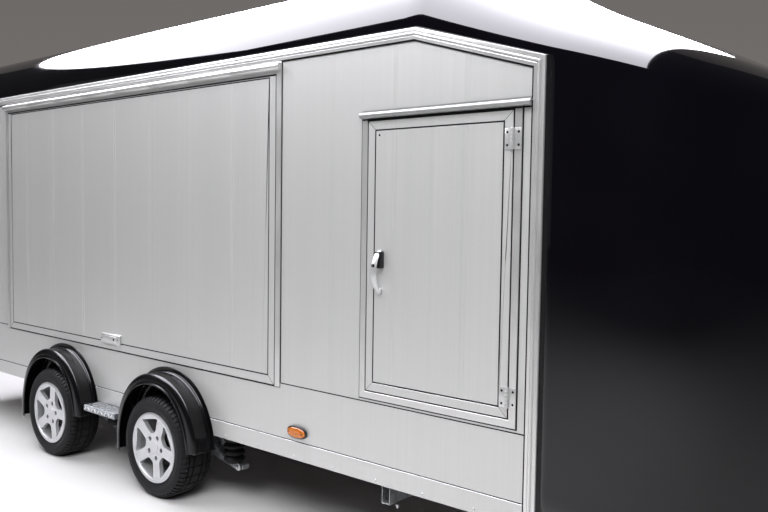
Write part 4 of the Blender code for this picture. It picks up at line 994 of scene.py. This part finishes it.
bellows = {"folds": 4, "fold": ((0.036, 0.0), (0.046, 0.18), (0.0525, 0.36), (0.0535, 0.5), (0.0525, 0.64),
                                (0.046, 0.82), (0.036, 0.97))}
for word in corners:
    node = "spring_" + word
    low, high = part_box(node)
    middle = (low + high) / 2
    step = (high.z - low.z - 0.014) / bellows["folds"]
    profile = [(0.006, low.z + 0.002), (0.006, high.z - 0.002), (0.034, high.z - 0.002)]
    for i in range(bellows["folds"]):
        profile += [(radius, high.z - 0.007 - i * step - step * share) for radius, share in bellows["fold"]]
    profile += [(0.034, low.z + 0.002)]
    shape = bmesh.new()
    lathe(shape, [(r, z - middle.z) for r, z in profile], middle, (0, 0, 1), 40)
    makePiece(node + "_bellows", shape, sealRubberAndPaintedShade, shell, (node,), 50)

for node, material, width in (("axle_front", galvanised, 0.003), ("axle_rear", galvanised, 0.003),
                              ("chassis_frame", galvanised, 0.0015), ("drawbar_left", galvanised, 0.005),
                              ("drawbar_right", galvanised, 0.005), ("cross_tube", galvanised, 0.0012),
                              ("overrun_unit", galvanised, 0.003), ("brake_lever", zincPlate, 0.002),
                              ("coupling_head", powderCoat, 0.004), ("jockey_tube", galvanised, 0.0012),
                              ("jockey_leg", zincPlate, 0.0010), ("jockey_fork", zincPlate, 0.0012),
                              ("jockey_wheel", tyreRubber, 0.0012), ("load_floor", phenolPly, 0.0010),
                              ("wheel_box_left", treadPlate, 0.0012), ("wheel_box_right", treadPlate, 0.0012),
                              ("lamp_bar", guardPlasticAndWellShade, 0.004)):
    refine(node, material, width)

# lever ends: a round eye on each suspension lever, beside its spring
lever = {"y": 0.948, "eyes": ((0.440, 0.212, 0.020), (0.175, 0.285, 0.036))}
shape = bmesh.new()
for word, x, side, hand in ends:
    y = side * lever["y"]
    for dx, z, r in lever["eyes"]:
        bar(shape, (x + dx, y - side * 0.002, z), (x + dx, y + side * 0.012, z), r, 28, edge=0.003)
        bar(shape, (x + dx, y + side * 0.010, z), (x + dx, y + side * 0.020, z), r * 0.5, 6, edge=0.001)
makePiece("lever_eyes", shape, zincPlate)

# tread pattern on the steps between the wheels: rows of bars, the last one on the front edge, bright polished
# steel on the darker galvanised plate as painted highlight
chequer = {"columns": 9, "rows": 5, "pitch": 0.0335, "rowPitch": 0.0225, "start": 0.020, "rowStart": 0.015,
           "edgeOut": 0.100, "top": (0.026, 0.0075, 0.0036, 1), "front": (0.024, 0.0030, 0.0070, 1)}
for side, word in ((-1, "right"), (1, "left")):
    node = "step_plate_" + word
    refine(node, galvanised, 0.0015)
    low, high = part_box(node)
    shape = bmesh.new()
    for i in range(chequer["columns"]):
        for j in range(chequer["rows"]):
            x = low.x + chequer["start"] + i * chequer["pitch"]
            if j == chequer["rows"] - 1:
                out, z, axis, scale = chequer["edgeOut"], (low.z + high.z) / 2, "Y", chequer["front"]
            else:
                out, z, axis, scale = chequer["rowStart"] + j * chequer["rowPitch"], high.z, "Z", chequer["top"]
            turn = Matrix.Rotation(math.radians(45 if (i + j) % 2 else -45), 4, axis)
            place = Matrix.Translation((x, side * (wallY + out), z)) @ turn @ Matrix.Diagonal(scale)
            made = bmesh.ops.create_cube(shape, size=1.0)["verts"]
            bmesh.ops.transform(shape, matrix=place, verts=made)
    makePiece(node + "_pattern", shape, polishedSteelAndTreadHighlight)


def bolts(shape, places, foot, head, top, radius):
    # upright hexagon heads with the thread showing past them
    for x, y in places:
        bar(shape, (x, y, foot), (x, y, head), radius, 6, edge=0.0012)
        bar(shape, (x, y, top[0]), (x, y, top[1]), 0.0050, 16, edge=0.0006)


shape = bmesh.new()
tubeBolts = [(x, side * 0.992) for side in (-1, 1) for x in (0.889, 0.963)]
bolts(shape, tubeBolts, 0.2840, 0.2950, (0.2780, 0.2860), 0.0085)
makePiece("cross_tube_bolts", shape, zincPlate)
print("running gear made")


# rear end: frame, ramp, lamps and plate

cutter = bmesh.new()
block(cutter, (bodyRear - 0.08, -wallY - 0.1, trimTop + 0.0003),
      (bodyRear + 0.08, wallY + 0.1, trimTop + 1.0))
refine("rear_frame", sectionMetal, 0.0025, cutter, 3)

ramp = {"pitch": 0.187, "tongue": 0.006, "line": 0.0020, "border": 0.055, "boltY": 0.905,
        "boltZ": (0.760, 1.840), "sealFoot": 0.470, "sealHead": 2.128, "treads": 9, "treadFoot": 0.62,
        "treadPitch": 0.175}
low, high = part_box("rear_ramp")
footZ, headZ = low.z + ramp["border"], high.z - ramp["border"]
cutter = bmesh.new()
y = low.y + ramp["border"]
while y < high.y:
    for shift in (-ramp["tongue"], ramp["tongue"]):
        bar(cutter, (low.x, y + shift, footZ), (low.x, y + shift, headZ), ramp["line"], 4)
    y += ramp["pitch"]
for z in (footZ, headZ):
    block(cutter, (low.x - past, low.y + 0.05, z - 0.002), (low.x + 0.0035, high.y - 0.05, z + 0.002))
refine("rear_ramp", plankMetal, 0.0015, cutter, 2)
shape = bmesh.new()
for side in (-1, 1):
    y0, y1 = sorted((side * 0.990, side * 0.9865))
    block(shape, (bodyRear - 0.0036, y0, ramp["sealFoot"]), (bodyRear - 0.0004, y1, ramp["sealHead"]), 0.0005)
block(shape, (bodyRear - 0.0036, -0.980, 2.1310), (bodyRear - 0.0004, 0.980, 2.1400), 0.0008)
makePiece("ramp_seal", shape, sealRubberAndPaintedShade)
shape = bmesh.new()
for side in (-1, 1):
    for z in ramp["boltZ"]:
        x, y = low.x, side * ramp["boltY"]
        block(shape, (x - 0.0062, y - 0.026, z - 0.055), (x - 0.0002, y + 0.026, z + 0.055), 0.0020)
        bar(shape, (x - 0.009, y, z - 0.085), (x - 0.009, y, z + 0.085), 0.0070, 20, edge=0.002)
        bar(shape, (x - 0.011, y, z + 0.020), (x - 0.011, y - side * 0.110, z + 0.020), 0.0058, 16, edge=0.002)
makePiece("ramp_bolts", shape, polishedSteelAndTreadHighlight, "ramp_leaf")
shape = bmesh.new()
for i in range(ramp["treads"]):
    z = ramp["treadFoot"] + i * ramp["treadPitch"]
    block(shape, (high.x - 0.0006, -0.90, z - 0.004), (high.x + 0.0030, 0.90, z + 0.004), 0.0012)
makePiece("ramp_treads", shape, treadPlate, "ramp_leaf")

lamp = {"start": 0.995, "prisms": 9, "prismFoot": 0.014, "prismPitch": 0.009,
        "lenses": (("amber", amberAcrylicPaintedGlow, 0.062), ("red", redAcrylic, 0.104),
                   ("clear", clearAcrylic, 0.044))}
for side, word in ((-1, "right"), (1, "left")):
    node = "rear_lamp_" + word
    low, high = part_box(node)
    shape = bmesh.new()
    block(shape, (low.x + 0.012, low.y, low.z), (high.x, high.y, high.z), 0.007, 4)
    makePiece(node + "_base", shape, housingPlastic)
    y = side * lamp["start"]
    for name, material, width in lamp["lenses"]:
        y0, y1 = sorted((y, y - side * (width - 0.002)))
        shape = bmesh.new()
        block(shape, (low.x + 0.002, y0, low.z + 0.006), (high.x - 0.010, y1, high.z - 0.006), 0.005, 4)
        cuts = bmesh.new()
        for k in range(lamp["prisms"]):
            z = low.z + lamp["prismFoot"] + k * lamp["prismPitch"]
            bar(cuts, (low.x + 0.0018, y0 + 0.008, z), (low.x + 0.0018, y1 - 0.008, z), 0.0011, 6)
        slotName, replaced = ("red_lens", (node,)) if name == "red" else (None, ())
        lens = makePiece(node + "_" + name, shape, material, shell, replaced)
        carve(lens, cuts)
        y -= side * width
low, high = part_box("lamp_bar")
shape = bmesh.new()
block(shape, (low.x - 0.0022, -0.250, low.z + 0.010), (low.x - 0.0002, 0.250, low.z + 0.110), 0.0008)
makePiece("blank_plate", shape, plateVinyl)
shape = bmesh.new()
for y in (-0.17, 0.17):
    block(shape, (low.x - 0.010, y - 0.024, high.z - 0.012),
          (low.x + 0.010, y + 0.024, high.z + 0.006), 0.004, 3)
makePiece("plate_lights", shape, housingPlastic)
print("rear made")


# drawbar end

overrun = {"z": 0.4337, "from": 2.752, "foldFrom": 2.760, "pitch": 0.0205, "folds": 8, "to": 2.930,
           "fold": ((0.0345, 0.0), (0.0405, 0.005), (0.0405, 0.010), (0.0345, 0.016))}
profile = [(0.026, overrun["from"])]
for i in range(overrun["folds"]):
    start = overrun["foldFrom"] + i * overrun["pitch"]
    profile += [(radius, start + along) for radius, along in overrun["fold"]]
profile += [(0.034, overrun["to"]), (0.026, overrun["to"])]
shape = bmesh.new()
lathe(shape, [(r, a - 2.8) for r, a in profile], (2.8, 0, overrun["z"]), (1, 0, 0), 40)
makePiece("overrun_bellows", shape, sealRubberAndPaintedShade, smooth=50)
shape = bmesh.new()
for x in (2.995, 3.055):
    for side in (-1, 1):
        bar(shape, (x, side * 0.030, overrun["z"]), (x, side * 0.0405, overrun["z"]), 0.0095, 6, edge=0.0012)
plateBolts = [(x, side * 0.068) for x in (2.440, 2.520) for side in (-1, 1)]
bolts(shape, plateBolts, 0.3830, 0.3935, (0.3930, 0.3990), 0.0090)
makePiece("drawbar_bolts", shape, zincPlate)
shape = bmesh.new()
block(shape, (3.090, -0.020, 0.5080), (3.270, 0.020, 0.5190), 0.0045, 3)
block(shape, (3.080, -0.016, 0.4900), (3.120, 0.016, 0.5160), 0.0040, 3)
makePiece("coupling_handle", shape, housingPlastic)
grip = {"foot": (2.608, -0.0990, 0.5200), "waist": (2.5555, -0.0990, 0.6580),
        "head": (2.5400, -0.0990, 0.6990)}
shape = bmesh.new()
bar(shape, grip["foot"], grip["waist"], 0.0150, 24, edge=0.002)
bar(shape, grip["waist"], grip["head"], 0.0165, 24, 0.0125, edge=0.003)
makePiece("brake_grip_sleeve", shape, housingPlastic)

# the jack's winding handle and clamp
jackX, jackY, jackTop = 2.808, 0.115, 0.700
crank = {"rise": 0.038, "reach": 0.110, "gripFoot": 0.040, "gripHead": 0.110}


def upright(shape, x, start, end, radius, steps, tip=None, edge=0.001):
    bar(shape, (x, jackY, jackTop + start), (x, jackY, jackTop + end), radius, steps, tip, edge)


shape = bmesh.new()
upright(shape, jackX, -0.006, 0.014, 0.027, 32, edge=0.003)
upright(shape, jackX, 0.010, 0.042, 0.0080, 20)
armZ = jackTop + crank["rise"]
bar(shape, (jackX, jackY, armZ), (jackX + crank["reach"], jackY, armZ), 0.0065, 16, edge=0.001)
makePiece("jack_crank", shape, zincPlate)
shape = bmesh.new()
gripX = jackX + crank["reach"] - 0.006
upright(shape, gripX, crank["gripFoot"], crank["gripHead"], 0.0120, 24, 0.0100, 0.003)
makePiece("jack_crank_grip", shape, housingPlastic)
shape = bmesh.new()
block(shape, (jackX - 0.034, jackY - 0.030, 0.3850), (jackX + 0.034, jackY + 0.030, 0.4300), 0.005, 3)
clampX = jackX + 0.020
bar(shape, (clampX, jackY + 0.020, 0.4080), (clampX, jackY + 0.110, 0.4080), 0.0060, 16, edge=0.001)
makePiece("jack_clamp", shape, galvanised)
print("drawbar made")

# any CAD solid still showing keeps a finish
for name, node in nodes.items():
    if not node.hide_render:
        node.data.materials.clear()
        node.data.materials.append(galvanised)
        print("still a CAD solid:", name)


# floor, backdrop, lights and camera

studio = {"floor": "#F0EFF0", "back": "#202020", "foot": "#5E5B58", "low": "#76726F", "high": "#6E6A68",
          "glow": 0.95, "size": 20.0, "height": 8.0}
floorPaint = finish("studioFloor", {"Roughness": 0.6, "Base Color": studio["floor"]})
# the backdrop glows by itself in a painted gradient of light: darkest at its foot, lightest a little above it,
# a little darker towards the top
glowingBackdropPaint = finish("studioBackdrop", {"Roughness": 1.0, "Base Color": studio["back"],
                                      "Emission Strength": studio["glow"]})
where = addNode(glowingBackdropPaint, "ShaderNodeTexCoord").outputs["Object"]
upward = addNode(glowingBackdropPaint, "ShaderNodeSeparateXYZ", links={"Vector": where}).outputs["Z"]
height = addNode(glowingBackdropPaint, "ShaderNodeMapRange", {"From Min": 0.0, "From Max": studio["height"]},
                 {"Value": upward})
tone = addNode(glowingBackdropPaint, "ShaderNodeValToRGB",
               {"stops": [(0.0, studio["foot"]), (0.2, studio["low"]), (1.0, studio["high"])]},
               {"Fac": height.outputs["Result"]})
glowingBackdropPaint.node_tree.links.new(tone.outputs["Color"],
                              glowingBackdropPaint.node_tree.nodes["Principled BSDF"].inputs["Emission Color"])


def studioSheet(name, material, matrix):
    shape = bmesh.new()
    made = bmesh.ops.create_grid(shape, x_segments=1, y_segments=1, size=studio["size"])["verts"]
    bmesh.ops.transform(shape, matrix=matrix, verts=made)
    mesh = bpy.data.meshes.new(name)
    shape.to_mesh(mesh)
    shape.free()
    mesh.materials.append(material)
    made = bpy.data.objects.new(name, mesh)
    bpy.context.scene.collection.objects.link(made)
    return made


floor = studioSheet("studioFloor", floorPaint, Matrix.Translation((-2.0, 2.0, 0.0)))
standing = Matrix.Rotation(math.radians(38), 4, "Z") @ Matrix.Rotation(math.radians(90), 4, "X")
backdrop = studioSheet("studioBackdrop", glowingBackdropPaint, Matrix.Translation((-9.0, 13.0, 15.0)) @ standing)


def softbox(name, place, aim, size, power, colour="#FFFFFF"):
    light = bpy.data.lights.new(name, "AREA")
    light.shape = "RECTANGLE"
    light.size, light.size_y = size
    light.energy = power
    light.color = linear(colour)[:3]
    made = bpy.data.objects.new(name, light)
    bpy.context.scene.collection.objects.link(made)
    made.visible_camera = False
    facing = (Vector(aim) - Vector(place)).to_track_quat("-Z", "Y").to_matrix().to_4x4()
    made.matrix_world = Matrix.Translation(place) @ facing
    return made


lights = {"ceiling": 250.0, "ceilingGlow": 4400.0, "front": 335.0, "left": 12.0, "far": 160.0}
ceiling = softbox("ceilingSoftbox", (-1.6, -1.6, 5.0), (-1.6, -1.6, 0.0), (9.0, 5.0), lights["ceiling"])
ceiling.visible_glossy = False
glowPlace = (-2.6, 1.375, 4.9)  # seen in the gelcoat only
glow = softbox("ceilingGlow", glowPlace, (-2.6, 1.375, 0.0), (8.9, 11.2), lights["ceilingGlow"], "#F8F6FF")
glow.matrix_world = Matrix.Translation(glowPlace) @ Matrix.Rotation(math.radians(15), 4, "Z")
glow.visible_diffuse = False
front = softbox("frontSoftbox", (3.3, -4.9, 5.0), (1.0, -1.0, 1.2), (4.0, 2.4), lights["front"])
front.visible_glossy = False
softbox("leftSoftbox", (-9.0, -8.5, 2.8), (-1.0, -1.0, 1.0), (7.0, 4.0), lights["left"])
softbox("farFill", (-6.0, 8.0, 4.0), (-1.0, 1.0, 1.0), (6.0, 3.0), lights["far"])

air = {"colour": "#58585A", "strength": 0.35}
world = bpy.context.scene.world or bpy.data.worlds.new("studio")
bpy.context.scene.world = world
world.use_nodes = True
world.node_tree.nodes["Background"].inputs["Color"].default_value = linear(air["colour"])
world.node_tree.nodes["Background"].inputs["Strength"].default_value = air["strength"]

view = {"place": (2.9241, -3.4935, 1.4920), "yaw": 39.365, "pitch": 3.184, "roll": -0.82, "lens": 36.92}
camera = bpy.data.cameras.new("viewCamera")
camera.lens = view["lens"]
camera.sensor_width = 36.0
cameraObject = bpy.data.objects.new("viewCamera", camera)
bpy.context.scene.collection.objects.link(cameraObject)
yaw, pitch, roll = (math.radians(view[k]) for k in ("yaw", "pitch", "roll"))
ahead = Vector((-math.sin(yaw) * math.cos(pitch), math.cos(yaw) * math.cos(pitch), -math.sin(pitch)))
right = Vector((math.cos(yaw), math.sin(yaw), 0.0))
down = ahead.cross(right)
across = right * math.cos(roll) + down * math.sin(roll)
below = down * math.cos(roll) - right * math.sin(roll)
facing = Matrix((across, -below, -ahead)).transposed().to_4x4()
cameraObject.matrix_world = Matrix.Translation(view["place"]) @ facing
bpy.context.scene.camera = cameraObject
bpy.context.scene.view_settings.view_transform = "Standard"
print("stage, lights and camera set")
